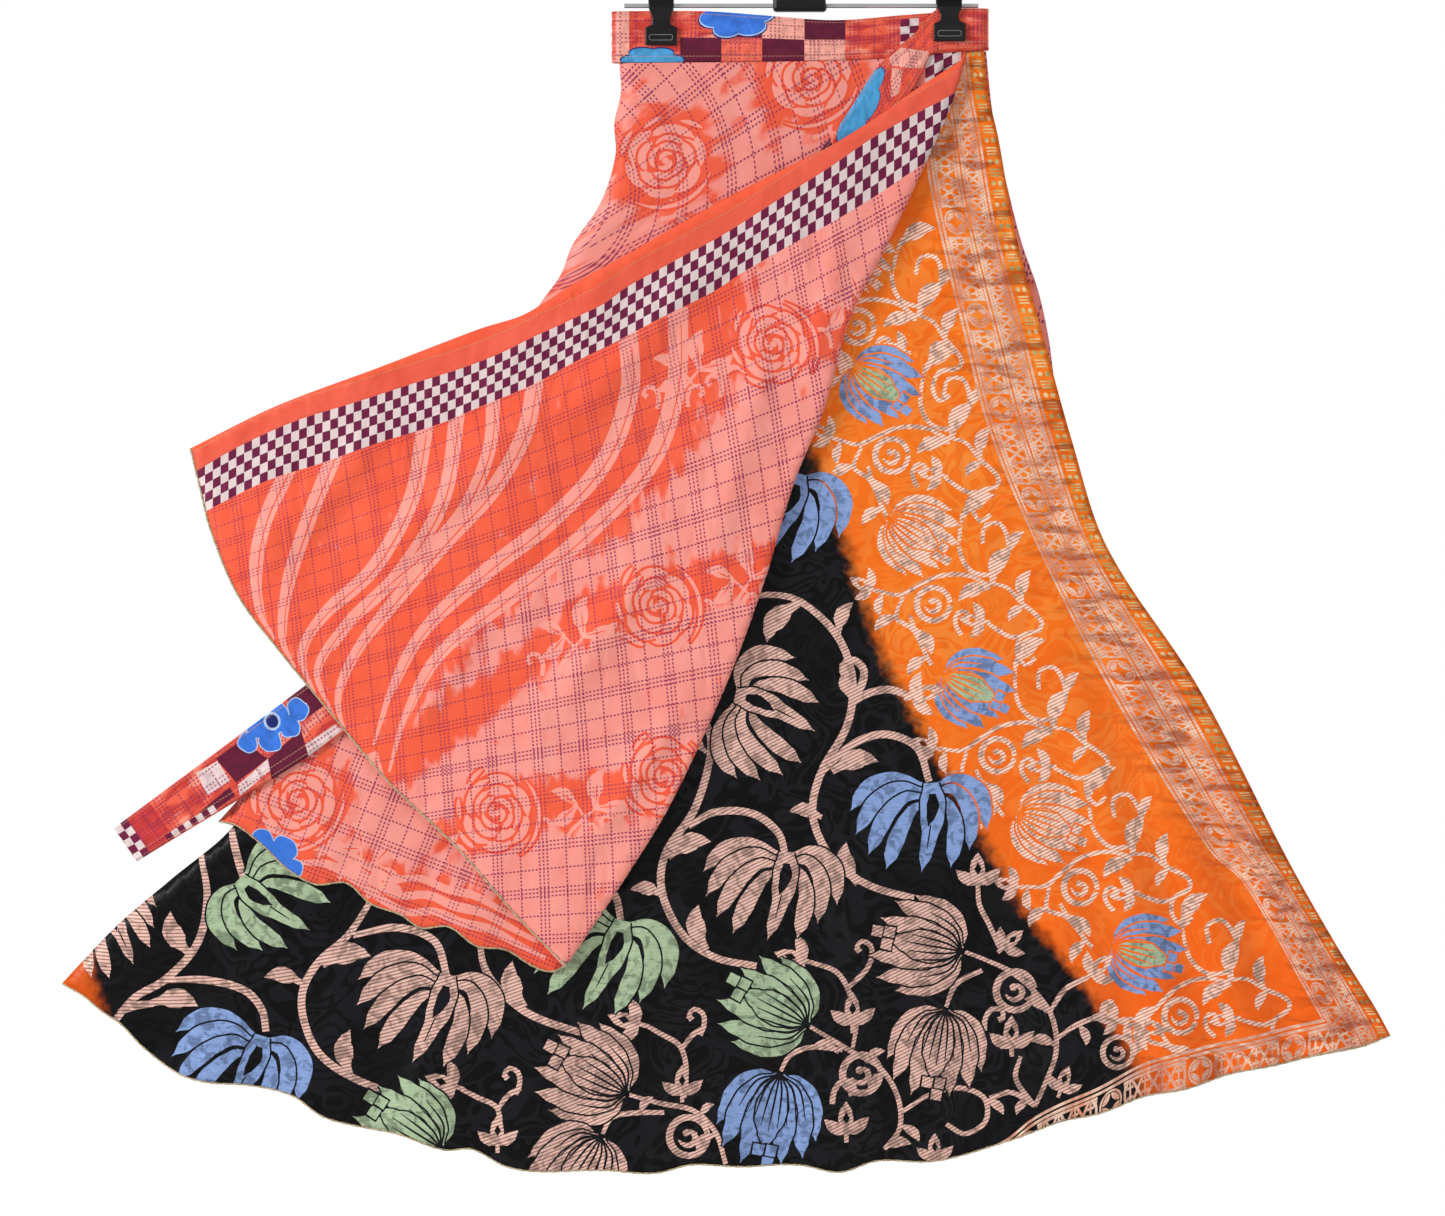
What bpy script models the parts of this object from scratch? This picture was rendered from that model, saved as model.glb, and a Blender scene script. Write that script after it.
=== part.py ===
"""A reversible two-layer wrap skirt, held by its waistband in the two clips of a hanger.

The skirt hangs in the XZ plane and faces -Y. The origin is the point inside the hook's crown
where a rail carries it. Outlines are tables of (x, drop) in millimetres: x is measured from the
hanger's middle, and drop downwards from the top of the waistband's left end.
"""

import math
from bisect import bisect_right

import bmesh
import bpy
from mathutils import Vector

MM = 0.001

# Hanger
WIRE_RADIUS = 1.75
HOOK_RADIUS = 22.75
HOOK_TIP_ANGLE = 200
HOOK_NECK_RADIUS = 10.0
ROD_DROP = -4.7  # the rod's axis lies this far above the waistband's top
ROD_Z = -110.0
ROD_ENDS = (-137.3, 139.6)
BLOCK_SIZE = (42.0, 11.0, 17.0)
BLOCK_ROUNDING = 2.5
BLOCK_MIDDLE_Z = -106.0
RUNNING_GAP = 0.3
STEM_DEPTH = 6.0
LEFT_CLIP_X = -108.4
RIGHT_CLIP_X = 116.8
CLIP_LIFT = (0.0, 2.9)  # the right clip sits this much higher than the left

# Cloth
TOP_Z = ROD_Z + ROD_DROP
CLOTH = 1.0
BAND_WALL = 3.0
BAND_MIDDLE = 2.5  # half the depth between the middles of the band's two walls
BAND_END_X = (-143.5, 142.3)  # where its rounded ends begin
STRAP = 1.6
SEAM_GAP = 0.4
HOLLOW_AT_TOP = 1.2  # half the room between the front and back stretches
HOLLOW_AT_HEM = 6.0
HEM_DROP = 906.0
LAYER_STEP = (1.5, 2.8)  # from the under layer's middle to the outer one's, at the seam and below
STRAP_STEP = (1.8, 2.5)
FLAP_STEP = 5.4
SPREADS_OVER = 110.0  # the drop over which the steps grow
FOLD_MIDDLE = (0.0, -242.0)  # the folds fan out from here

# Outlines: (x, drop), in the order in which a pattern cutter would walk them
BAND_TOP = [(-144, 0), (-74, 0), (-31, 3), (27, 7), (81, 3), (147, -2)]
BAND_BOTTOM = [(-144, 40), (-20, 39), (60, 37), (105, 33), (147, 30)]

UNDER_LEFT = [(-134, 41), (-138, 109), (-149, 150), (-196, 235), (-256, 328), (-324, 445),
              (-386, 550), (-442, 636), (-492, 679), (-533, 714), (-577, 760)]
UNDER_HEM = [(-577, 760), (-560, 769), (-545, 781), (-530, 791), (-512, 810), (-486, 829),
             (-464, 836), (-430, 839), (-396, 847), (-372, 863), (-345, 871), (-312, 877),
             (-278, 889), (-256, 889), (-229, 902), (-199, 906), (-150, 905), (-112, 907),
             (-84, 901), (-44, 902), (0, 901), (31, 906), (60, 898), (100, 898), (132, 892),
             (165, 881), (201, 868), (232, 861), (268, 848), (302, 841), (340, 829), (380, 821),
             (414, 813), (441, 808), (461, 800)]
UNDER_RIGHT = [(144, 32), (147, 63), (155, 98), (168, 171), (189, 250), (213, 337), (240, 419),
               (312, 530), (381, 663), (418, 728), (449, 778), (461, 800)]
UNDER_BACK_HEM = [(-577, 760), (-530, 783), (-486, 818), (-430, 832), (-396, 836), (-345, 862),
                  (-300, 867), (-256, 882), (-199, 893), (-150, 899), (-84, 893), (-20, 897),
                  (40, 893), (100, 887), (150, 880), (201, 858), (250, 847), (302, 829),
                  (360, 816), (414, 801), (444, 792)]
UNDER_BACK_RIGHT = [(142, 32), (152, 98), (185, 250), (235, 419), (305, 534), (372, 663),
                    (408, 726), (444, 792)]

OUTER_LEFT = [(-141, 40), (-140, 64), (-145, 87), (-144, 112), (-156, 150), (-178, 183),
              (-187, 206), (-204, 230), (-261, 326), (-328, 443), (-390, 548), (-429, 604),
              (-454, 633)]
OUTER_HEM = [(-454, 633), (-440, 636), (-420, 651), (-400, 670), (-378, 682), (-354, 681),
             (-335, 697), (-311, 706), (-296, 716), (-274, 715), (-252, 730), (-230, 733),
             (-208, 746), (-194, 750), (-182, 745)]
FOLD_LINE = [(131, 37), (118, 74), (89, 139), (66, 187), (39, 241), (19, 311), (-4, 367),
             (-28, 446), (-58, 527), (-101, 619), (-133, 672), (-161, 714), (-182, 745)]
FLAP_EDGE = [(126, 39), (87, 64), (62, 84), (12, 114), (-38, 147), (-95, 166), (-143, 196),
             (-187, 212), (-212, 239), (-258, 253), (-328, 279), (-408, 309), (-475, 342)]
FLAP_HEM = [(-475, 342), (-467, 375), (-459, 406), (-438, 456), (-406, 499), (-363, 551),
            (-320, 602), (-266, 654), (-218, 709), (-182, 745)]
OUTER_BACK_HEM = [(-454, 633), (-405, 652), (-372, 676), (-330, 688), (-290, 711), (-240, 722),
                  (-195, 745), (-140, 751), (-90, 765), (-40, 762), (10, 770), (60, 759),
                  (110, 756), (155, 738), (200, 729), (245, 706), (283, 694), (316, 671)]
OUTER_BACK_RIGHT = [(146, 32), (151, 78), (162, 133), (174, 180), (187, 218), (195, 254),
                    (201, 295), (213, 339), (226, 382), (257, 476), (289, 569), (316, 671)]

STRAP_UPPER = [(126, -2), (108, -2), (90, 17), (64, 40), (29, 92), (-100, 262), (-250, 421),
               (-385, 526), (-535, 638)]
STRAP_LOWER = [(126, 30), (112, 31), (102, 34), (96, 48), (74, 84), (-68, 294), (-222, 464),
               (-356, 564), (-517, 664)]

# Folds: the angle from straight down, its height at the hem, its half width, and where it starts
FOLD_COLUMNS = ("angle", "height", "half_width", "start")
FRONT_FOLDS = [
    (-27.4, 5.0, 1.9, 680),
    (-23.4, 6.0, 2.1, 640),
    (-19.0, 5.0, 2.0, 660),
    (-14.9, 6.5, 2.2, 600),
    (-10.6, 5.0, 2.0, 680),
    (-6.6, 6.0, 2.1, 620),
    (-2.6, 5.0, 1.9, 660),
    (1.3, 6.5, 2.1, 600),
    (5.2, 5.0, 1.9, 640),
    (8.9, 6.0, 1.9, 560),
    (12.3, 5.0, 1.7, 470),
    (15.5, 6.0, 1.7, 330),
    (18.7, 6.5, 1.6, 210),
    (21.6, 6.0, 1.5, 150),
]
BACK_FOLDS = [
    (-25.4, 5.0, 2.2, 640),
    (-20.6, 6.5, 2.6, 520),
    (-15.4, 5.0, 2.4, 640),
    (-10.0, 7.0, 3.2, 380),
    (-4.0, 5.0, 2.6, 620),
    (1.6, 7.0, 3.2, 400),
    (7.2, 5.0, 2.4, 620),
    (12.4, 6.5, 3.0, 420),
    (17.4, 5.0, 2.2, 600),
    (21.4, 5.0, 1.9, 560),
]
OUTER_FOLDS = [
    (-26.4, 2.5, 1.6, 600),
    (-22.8, 3.0, 1.8, 560),
    (-18.9, 2.5, 1.7, 600),
    (-15.2, 3.0, 1.7, 560),
]
FLAP_FOLDS = [
    (-50.0, 3.0, 5.0, 260),
    (-39.0, 3.5, 4.8, 320),
    (-29.5, 2.5, 4.0, 420),
    (-21.5, 3.5, 3.4, 470),
]


def clear_scene():
    for item in list(bpy.data.objects):
        bpy.data.objects.remove(item, do_unlink=True)


def material(name, colour, roughness, metallic=0.0):
    made = bpy.data.materials.new(name)
    made.use_nodes = True
    shader = made.node_tree.nodes["Principled BSDF"]
    shader.inputs["Base Color"].default_value = (*colour, 1.0)
    shader.inputs["Roughness"].default_value = roughness
    shader.inputs["Metallic"].default_value = metallic
    made.diffuse_color = (*colour, 1.0)
    return made


def show(mesh_or_curve, name, finish):
    """Links a new object, with its own material, to the scene."""
    shown = bpy.data.objects.new(name, mesh_or_curve)
    bpy.context.scene.collection.objects.link(shown)
    mesh_or_curve.materials.append(finish)
    return shown


def from_bmesh(form, name, finish, sharp_above=math.radians(35)):
    bmesh.ops.recalc_face_normals(form, faces=form.faces)
    mesh = bpy.data.meshes.new(name)
    form.to_mesh(mesh)
    form.free()
    mesh.shade_smooth()
    mesh.set_sharp_from_angle(angle=sharp_above)
    return show(mesh, name, finish)


# Curves and fields that the cloth is worked out from


class Outline:
    """A smooth line through a few points, walked by its share of the length."""

    def __init__(self, points):
        self.points = [Vector(p) for p in points]
        self.at = [0.0]
        for a, b in zip(self.points, self.points[1:]):
            self.at.append(self.at[-1] + (b - a).length)

    def __call__(self, share):
        along = min(max(share, 0.0), 1.0) * self.at[-1]
        i = min(bisect_right(self.at, along) - 1, len(self.points) - 2)
        i = max(i, 0)
        span = self.at[i + 1] - self.at[i]
        t = (along - self.at[i]) / span
        a, b = self.points[i], self.points[i + 1]
        return (
            (2 * t**3 - 3 * t**2 + 1) * a
            + (t**3 - 2 * t**2 + t) * span * self.slope(i)
            + (3 * t**2 - 2 * t**3) * b
            + (t**3 - t**2) * span * self.slope(i + 1)
        )

    def slope(self, i):
        low, high = max(i - 1, 0), min(i + 1, len(self.points) - 1)
        return (self.points[high] - self.points[low]) / (self.at[high] - self.at[low])

    def height(self, x):
        """The drop of a line that runs from left to right, at one x."""
        low, high = 0.0, 1.0
        for _ in range(30):
            middle = (low + high) / 2
            low, high = (middle, high) if self(middle).x < x else (low, middle)
        return self(low).y


def patch(top, bottom, left, right):
    """A flat stretch of cloth between four outlines, as a function of its two shares.

    Its sides are given as points, and start at the ends of its upper edge."""
    left = Outline([top(0)] + left[1:])
    right = Outline([top(1)] + right[1:])

    def place(across, down):
        sides = (1 - across) * left(down) + across * right(down)
        ends = (1 - down) * top(across) + down * bottom(across)
        corners = (1 - down) * ((1 - across) * top(0) + across * top(1))
        corners += down * ((1 - across) * bottom(0) + across * bottom(1))
        return sides + ends - corners

    return place


def smooth_step(value):
    t = min(max(value, 0.0), 1.0)
    return t * t * (3 - 2 * t)


def folds(table, at):
    """How far the soft folds of one table lift the cloth at (x, drop)."""
    angle = math.degrees(math.atan2(at.x - FOLD_MIDDLE[0], at.y - FOLD_MIDDLE[1]))
    lift = 0.0
    for values in table:
        row = dict(zip(FOLD_COLUMNS, values))
        off = (angle - row["angle"]) / row["half_width"]
        if abs(off) < 1:
            grown = smooth_step((at.y - row["start"]) / (HEM_DROP - row["start"]))
            lift += row["height"] * grown * (0.5 + 0.5 * math.cos(math.pi * off))
    return lift


def hollow(at):
    return HOLLOW_AT_TOP + (HOLLOW_AT_HEM - HOLLOW_AT_TOP) * max(at.y, 0.0) / HEM_DROP


def spread(step, at):
    """A step between two layers, which grows from the seam down."""
    return step[0] + (step[1] - step[0]) * smooth_step((at.y - 30) / SPREADS_OVER)


def under_depth(at):
    return hollow(at) + CLOTH / 2 + folds(FRONT_FOLDS, at)


def outer_depth(at):
    return under_depth(at) + spread(LAYER_STEP, at) + folds(OUTER_FOLDS, at)


def flap_depth(at):
    return outer_depth(at) + FLAP_STEP + folds(FLAP_FOLDS, at)


def under_back_depth(at):
    return hollow(at) + CLOTH / 2 + folds(BACK_FOLDS, at)


def outer_back_depth(at):
    return under_back_depth(at) + spread(LAYER_STEP, at)


def closed_at_left(depth, across, width):
    """Draws a stretch in to the middle where it meets the other one at the left fold."""
    meeting = (CLOTH + RUNNING_GAP) / 2
    share = min(across / width, 1.0)
    return meeting + (depth - meeting) * math.sqrt(1 - (1 - share) ** 2)


def spot(at, depth):
    """The point of the part at (x, drop), depth in front of its middle plane."""
    return Vector((at.x, -depth, TOP_Z - at.y)) * MM


# Cloth


def wall(name, place, columns, rows, thickness, finish):
    """A wall whose middle surface is place(across, down), on a grid of those shares."""
    form = bmesh.new()
    bmesh.ops.create_grid(form, x_segments=len(columns) - 1, y_segments=rows, size=1.0)
    for vertex in form.verts:
        column = round((vertex.co.x + 1) / 2 * (len(columns) - 1))
        vertex.co = place(columns[column], (1 - vertex.co.y) / 2)
    cloth = from_bmesh(form, name, finish)
    shell = cloth.modifiers.new("Cloth", "SOLIDIFY")
    shell.thickness = thickness * MM
    shell.offset = 0.0
    return cloth


def even(count, first=0.0, last=1.0):
    return [first + (last - first) * i / count for i in range(count + 1)]


def seam(left, right):
    """The upper edge of a stretch, just under the waistband between two values of x."""
    low = Outline(BAND_BOTTOM)
    count = 12
    xs = [left + (right - left) * i / count for i in range(count + 1)]
    return Outline([(x, low.height(x) + SEAM_GAP) for x in xs])


def under_front(finish):
    flat = patch(
        seam(UNDER_LEFT[0][0], UNDER_RIGHT[0][0]),
        Outline(UNDER_HEM),
        UNDER_LEFT,
        UNDER_RIGHT,
    )

    def place(across, down):
        at = flat(across, down)
        return spot(at, closed_at_left(under_depth(at), across, 0.03))

    columns = [0.0, 0.012, 0.03] + even(58, 0.045, 1.0)
    return wall("under_front", place, columns, 9, CLOTH, finish)


def under_back(finish):
    flat = patch(
        seam(UNDER_LEFT[0][0], UNDER_BACK_RIGHT[0][0]),
        Outline(UNDER_BACK_HEM),
        UNDER_LEFT,
        UNDER_BACK_RIGHT,
    )

    def place(across, down):
        at = flat(across, down)
        return spot(at, -closed_at_left(under_back_depth(at), across, 0.03))

    columns = [0.0, 0.012, 0.03] + even(40, 0.05, 1.0)
    return wall("under_back", place, columns, 8, CLOTH, finish)


def outer_front(finish):
    """The outer layer's front stretch, its round fold and the flap, in one wall."""
    turning = [(x - FLAP_STEP / 2, drop) for x, drop in FOLD_LINE]
    top = seam(OUTER_LEFT[0][0], turning[0][0])
    turning[0] = top(1)
    turn = Outline(turning)
    front = patch(top, Outline(OUTER_HEM[:-1] + turning[-1:]), OUTER_LEFT, turning)
    flap_top = Outline([FLAP_EDGE[0], turning[0]])
    flap = patch(flap_top, Outline(FLAP_HEM[:-1] + turning[-1:]), FLAP_EDGE, turning)
    turn_from, turn_to = 1.0, 2.0  # shares along the wall: front, then fold, then flap

    def place(along, down):
        if along <= turn_from:
            at = front(along, down)
            return spot(at, closed_at_left(outer_depth(at), along, 0.012))
        if along >= turn_to:
            at = flap(1 - (along - turn_to), down)
            return spot(at, flap_depth(at))
        at = turn(down)
        near, far = outer_depth(at), flap_depth(at)
        angle = math.pi * (along - turn_from)
        reach = FLAP_STEP / 2 * math.sin(angle)
        return spot(
            at + Vector((reach, 0.0)), (near + far) / 2 - (far - near) / 2 * math.cos(angle)
        )

    columns = [0.0, 0.004, 0.012] + even(30, 0.04, turn_from)
    columns += even(4, turn_from, turn_to)[1:] + even(32, turn_to, turn_to + 1)[1:]
    return wall("outer_front", place, columns, 9, CLOTH, finish)


def outer_back(finish):
    flat = patch(
        seam(OUTER_LEFT[0][0], OUTER_BACK_RIGHT[0][0]),
        Outline(OUTER_BACK_HEM),
        OUTER_LEFT,
        OUTER_BACK_RIGHT,
    )

    def place(across, down):
        at = flat(across, down)
        return spot(at, -closed_at_left(outer_back_depth(at), across, 0.012))

    columns = [0.0, 0.004, 0.012] + even(36, 0.04, 1.0)
    return wall("outer_back", place, columns, 8, CLOTH, finish)


def waistband(finish):
    """A flat ring of cloth: its two walls, joined by round ends."""
    top, bottom = Outline(BAND_TOP), Outline(BAND_BOTTOM)
    left, right = BAND_END_X
    straight, turn, rows = 14, 4, 3  # steps along a wall, round an end, and down
    loop = [(x, -BAND_MIDDLE) for x in even(straight, left, right)]
    for angle in even(turn, -math.pi / 2, math.pi / 2)[1:-1]:
        loop.append((right + BAND_MIDDLE * math.cos(angle), BAND_MIDDLE * math.sin(angle)))
    loop += [(x, BAND_MIDDLE) for x in even(straight, right, left)]
    for angle in even(turn, math.pi / 2, math.pi * 3 / 2)[1:-1]:
        loop.append((left + BAND_MIDDLE * math.cos(angle), BAND_MIDDLE * math.sin(angle)))
    form = bmesh.new()
    rings = []
    for share in even(rows):
        ring = []
        for x, y in loop:
            drop = (1 - share) * top.height(x) + share * bottom.height(x)
            ring.append(form.verts.new(Vector((x, y, TOP_Z - drop)) * MM))
        for a, b in zip(ring, ring[1:] + ring[:1]):
            form.edges.new((a, b))
        rings.append(ring)
    for upper, lower in zip(rings, rings[1:]):
        edges = [e for e in form.edges if all(v in upper for v in e.verts)]
        edges += [e for e in form.edges if all(v in lower for v in e.verts)]
        bmesh.ops.bridge_loops(form, edges=edges)
    band = from_bmesh(form, "waistband", finish)
    shell = band.modifiers.new("Cloth", "SOLIDIFY")
    shell.thickness = BAND_WALL * MM
    shell.offset = 0.0
    shell.use_even_offset = True
    return band


def tie_strap(finish):
    """The tie: round the waistband's right end, over its front, and down under the flap."""
    upper, lower = Outline(STRAP_UPPER), Outline(STRAP_LOWER)
    on_band = BAND_MIDDLE + BAND_WALL / 2 + RUNNING_GAP + STRAP / 2
    back_run, turned, laid = 0.4, 1.0, 1.5  # where it starts to turn, has turned, leaves the end
    finish_at = 3.0
    end_x = BAND_END_X[1]
    back_x = RIGHT_CLIP_X + 14.0

    def place(along, across):
        top, low = STRAP_UPPER[0], STRAP_LOWER[0]
        drop = (1 - across) * top[1] + across * low[1]
        if along < back_run:
            x = back_x + (end_x - back_x) * along / back_run
            return spot(Vector((x, drop)), -on_band)
        if along < turned:
            angle = math.pi * (along - back_run) / (turned - back_run)
            x = end_x + on_band * math.sin(angle)
            return spot(Vector((x, drop)), -on_band * math.cos(angle))
        if along < laid:
            x = end_x + (top[0] - end_x) * (along - turned) / (laid - turned)
            return spot(Vector((x, drop)), on_band)
        share = (along - laid) / (finish_at - laid)
        at = (1 - across) * upper(share) + across * lower(share)
        below_band = smooth_step((at.y - 25) / 30)
        lying = outer_depth(at) + spread(STRAP_STEP, at)
        return spot(at, on_band + (max(lying, on_band) - on_band) * below_band)

    columns = even(1, 0.0, back_run) + even(6, back_run, turned)[1:] + [laid]
    columns += even(44, laid, finish_at)[1:]
    return wall("tie_strap", place, columns, 3, STRAP, finish)


# Hanger


def hook_route():
    """The wire's middle line: a straight stem, a small bend out, then the round hook."""
    middle = Vector((0.0, 0.0, WIRE_RADIUS - HOOK_RADIUS))
    rise = math.sqrt((HOOK_RADIUS + HOOK_NECK_RADIUS) ** 2 - HOOK_NECK_RADIUS**2)
    neck = Vector((HOOK_NECK_RADIUS, 0.0, middle.z - rise))
    stem_foot = BLOCK_MIDDLE_Z + BLOCK_SIZE[2] / 2 - STEM_DEPTH
    leaves = math.atan2(rise, -HOOK_NECK_RADIUS)
    route = [Vector((0.0, 0.0, z)) for z in even(3, stem_foot, neck.z)]
    for angle in even(5, math.pi, leaves)[1:]:
        route.append(neck + HOOK_NECK_RADIUS * Vector((math.cos(angle), 0.0, math.sin(angle))))
    for angle in even(22, leaves - math.pi, math.radians(HOOK_TIP_ANGLE))[1:]:
        route.append(middle + HOOK_RADIUS * Vector((math.cos(angle), 0.0, math.sin(angle))))
    return route


def wire(name, route, finish):
    curve = bpy.data.curves.new(name, "CURVE")
    curve.dimensions = "3D"
    line = curve.splines.new("POLY")
    line.points.add(len(route) - 1)
    for point, at in zip(line.points, route):
        point.co = (*(at * MM), 1.0)
    curve.bevel_depth = WIRE_RADIUS * MM
    curve.bevel_resolution = 3
    curve.use_fill_caps = True
    return show(curve, name, finish)


def block_form(sizes, middle):
    form = bmesh.new()
    bmesh.ops.create_cube(form, size=1.0)
    bmesh.ops.scale(form, vec=Vector(sizes) * MM, verts=form.verts)
    bmesh.ops.translate(form, vec=Vector(middle) * MM, verts=form.verts)
    return form


def bore(name, radius, length, middle, along):
    """A round cutter, left out of the build."""
    form = bmesh.new()
    bmesh.ops.create_cone(
        form,
        cap_ends=True,
        segments=16,
        radius1=radius * MM,
        radius2=radius * MM,
        depth=length * MM,
    )
    turned = Vector((0, 0, 1)).rotation_difference(Vector(along))
    bmesh.ops.rotate(form, matrix=turned.to_matrix(), verts=form.verts)
    bmesh.ops.translate(form, vec=Vector(middle) * MM, verts=form.verts)
    cutter = from_bmesh(form, name, bpy.data.materials[0])
    cutter.hide_render = True
    cutter.display_type = "WIRE"
    return cutter


def boolean(piece, other, operation):
    change = piece.modifiers.new(operation.title(), "BOOLEAN")
    change.operation = operation
    change.object = other
    return change


def round_edges(form, radius, segments=2):
    bmesh.ops.bevel(
        form,
        geom=form.edges[:],
        offset=radius * MM,
        affect="EDGES",
        segments=segments,
        profile=0.5,
        material=-1,
    )


def centre_block(finish):
    form = block_form(BLOCK_SIZE, (0.0, 0.0, BLOCK_MIDDLE_Z))
    round_edges(form, BLOCK_ROUNDING)
    block = from_bmesh(form, "hanger_block", finish)
    hole = WIRE_RADIUS + RUNNING_GAP
    rod_hole = bore("rod_hole", hole, 2 * BLOCK_SIZE[0], (0, 0, ROD_Z), (1, 0, 0))
    boolean(block, rod_hole, "DIFFERENCE")
    top = BLOCK_MIDDLE_Z + BLOCK_SIZE[2] / 2
    stem_hole = bore("stem_hole", hole, 2 * (STEM_DEPTH + RUNNING_GAP), (0, 0, top), (0, 0, 1))
    boolean(block, stem_hole, "DIFFERENCE")
    return block


CLIP_COLUMNS = ("above_rod", "inner", "thick", "half_width")
CLIP_JAW = [  # from the pinching end, over the rod, down to the jaw; lengths from the rod
    (19.0, 8.6, 2.0, 9.6),
    (11.0, 5.6, 2.2, 10.2),
    (4.2, 3.0, 2.4, 10.2),
    (-1.6, 4.9, 2.4, 9.8),
    (-11.0, 4.9, 2.2, 6.8),
    (-15.6, 4.9, 2.4, 7.6),
    (-18.0, 4.9, 2.6, 12.4),
    (-31.5, 4.9, 2.6, 12.4),
]
CLIP_GRIP = BAND_MIDDLE + BAND_WALL / 2 + RUNNING_GAP
CLIP_EDGE = 0.7
CLIP_HOUSING = (15.0, 7.6, 6.4)


def jaw(name, side, middle_x, lift, extra, finish):
    """One lever of a clip, from its pinching end to its jaw, on the side -1 front or 1 back."""
    form = bmesh.new()
    rings = []
    for values in CLIP_JAW:
        row = dict(zip(CLIP_COLUMNS, values))
        if row["above_rod"] < 0:
            inner = CLIP_GRIP + extra
        else:
            inner = row["inner"]
        rise = lift * smooth_step(-(row["above_rod"] + 5) / 6)
        corners = []
        for x, y in (
            (-row["half_width"], inner),
            (row["half_width"], inner),
            (row["half_width"], inner + row["thick"]),
            (-row["half_width"], inner + row["thick"]),
        ):
            z = ROD_Z + row["above_rod"] + rise
            corners.append(form.verts.new(Vector((middle_x + x, side * y, z)) * MM))
        rings.append(corners)
    for upper, lower in zip(rings, rings[1:]):
        for i in range(4):
            j = (i + 1) % 4
            form.faces.new((upper[i], upper[j], lower[j], lower[i]))
    form.faces.new(rings[0])
    form.faces.new(rings[-1])
    bmesh.ops.recalc_face_normals(form, faces=form.faces)
    form.normal_update()
    long_edges = [e for e in form.edges if e.calc_face_angle(0) > math.radians(50)]
    bmesh.ops.bevel(
        form,
        geom=long_edges,
        offset=CLIP_EDGE * MM,
        affect="EDGES",
        segments=2,
        profile=0.5,
        material=-1,
    )
    return from_bmesh(form, name, finish)


def clip(name, middle_x, lift, front_extra, finish):
    """A clip: two levers on a small housing that the rod runs through."""
    form = block_form(CLIP_HOUSING, (middle_x, 0.0, ROD_Z + RUNNING_GAP))
    round_edges(form, CLIP_EDGE, 1)
    body = from_bmesh(form, name, finish)
    for side, extra, label in ((-1, front_extra, "front"), (1, 0.0, "back")):
        lever = jaw(f"{name}_{label}_lever", side, middle_x, lift, extra, finish)
        lever.hide_render = True
        lever.display_type = "WIRE"
        boolean(body, lever, "UNION")
    hole = WIRE_RADIUS + RUNNING_GAP
    length = 2 * CLIP_HOUSING[0]
    rod_hole = bore(f"{name}_rod_hole", hole, length, (middle_x, 0, ROD_Z), (1, 0, 0))
    boolean(body, rod_hole, "DIFFERENCE")
    return body


def build():
    clear_scene()
    black_plastic = material("black_plastic", (0.015, 0.015, 0.017), 0.38)
    chrome = material("chrome", (0.75, 0.76, 0.78), 0.12, 1.0)
    under = material("under_cloth", (0.03, 0.028, 0.035), 0.4)
    outer = material("outer_cloth", (0.85, 0.18, 0.09), 0.6)
    band = material("band_cloth", (0.7, 0.1, 0.05), 0.6)

    wire("hanger_hook", hook_route(), chrome)
    ends = [Vector((x, 0.0, ROD_Z)) for x in even(4, *ROD_ENDS)]
    wire("hanger_rod", ends, chrome)
    centre_block(black_plastic)
    clip("clip_left", LEFT_CLIP_X, CLIP_LIFT[0], 0.0, black_plastic)
    clip("clip_right", RIGHT_CLIP_X, CLIP_LIFT[1], STRAP + RUNNING_GAP, black_plastic)
    waistband(band)
    tie_strap(band)
    under_front(under)
    under_back(under)
    outer_front(outer)
    outer_back(outer)


build()
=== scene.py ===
# %% [markdown]
# # A reversible wrap skirt on a clip hanger
#
# A wrap skirt made of two old printed saris hangs by its waistband from a chrome hanger with two
# black clips. The coral layer is outside, and its free front end is turned back to the left, so
# that the black and orange brocade under it shows. The hook, the rod, the block and the clips come
# from the CAD frame. All the cloth is made here, in the same places but thinner and softer.

import math
from bisect import bisect_right

import bmesh
import bpy
from mathutils import Matrix, Vector, noise
from mathutils.geometry import delaunay_2d_cdt


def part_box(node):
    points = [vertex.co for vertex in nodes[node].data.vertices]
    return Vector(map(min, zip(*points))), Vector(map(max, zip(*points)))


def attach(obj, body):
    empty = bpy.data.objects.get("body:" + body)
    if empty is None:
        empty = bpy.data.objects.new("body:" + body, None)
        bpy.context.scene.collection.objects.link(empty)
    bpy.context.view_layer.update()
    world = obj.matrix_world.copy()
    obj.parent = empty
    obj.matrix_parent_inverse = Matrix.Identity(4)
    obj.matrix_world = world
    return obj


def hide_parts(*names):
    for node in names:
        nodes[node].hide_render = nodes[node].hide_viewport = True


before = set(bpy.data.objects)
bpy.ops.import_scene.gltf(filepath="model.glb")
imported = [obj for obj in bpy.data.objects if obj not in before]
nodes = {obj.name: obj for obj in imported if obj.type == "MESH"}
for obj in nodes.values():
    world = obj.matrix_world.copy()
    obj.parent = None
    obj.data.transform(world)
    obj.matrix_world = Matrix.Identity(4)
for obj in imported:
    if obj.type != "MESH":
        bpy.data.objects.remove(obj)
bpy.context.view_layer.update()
print("CAD nodes:", sorted(nodes))

# %% [markdown]
# ## Where everything is
#
# Lengths are in millimetres until a point goes into a mesh. A place on the skirt is (x, drop): x
# from the hanger's middle, drop downwards from the top of the waistband. A third number, the
# depth, says how far in front of the skirt's middle plane it lies. Three numbers are enough,
# because the whole skirt hangs nearly flat.

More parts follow.
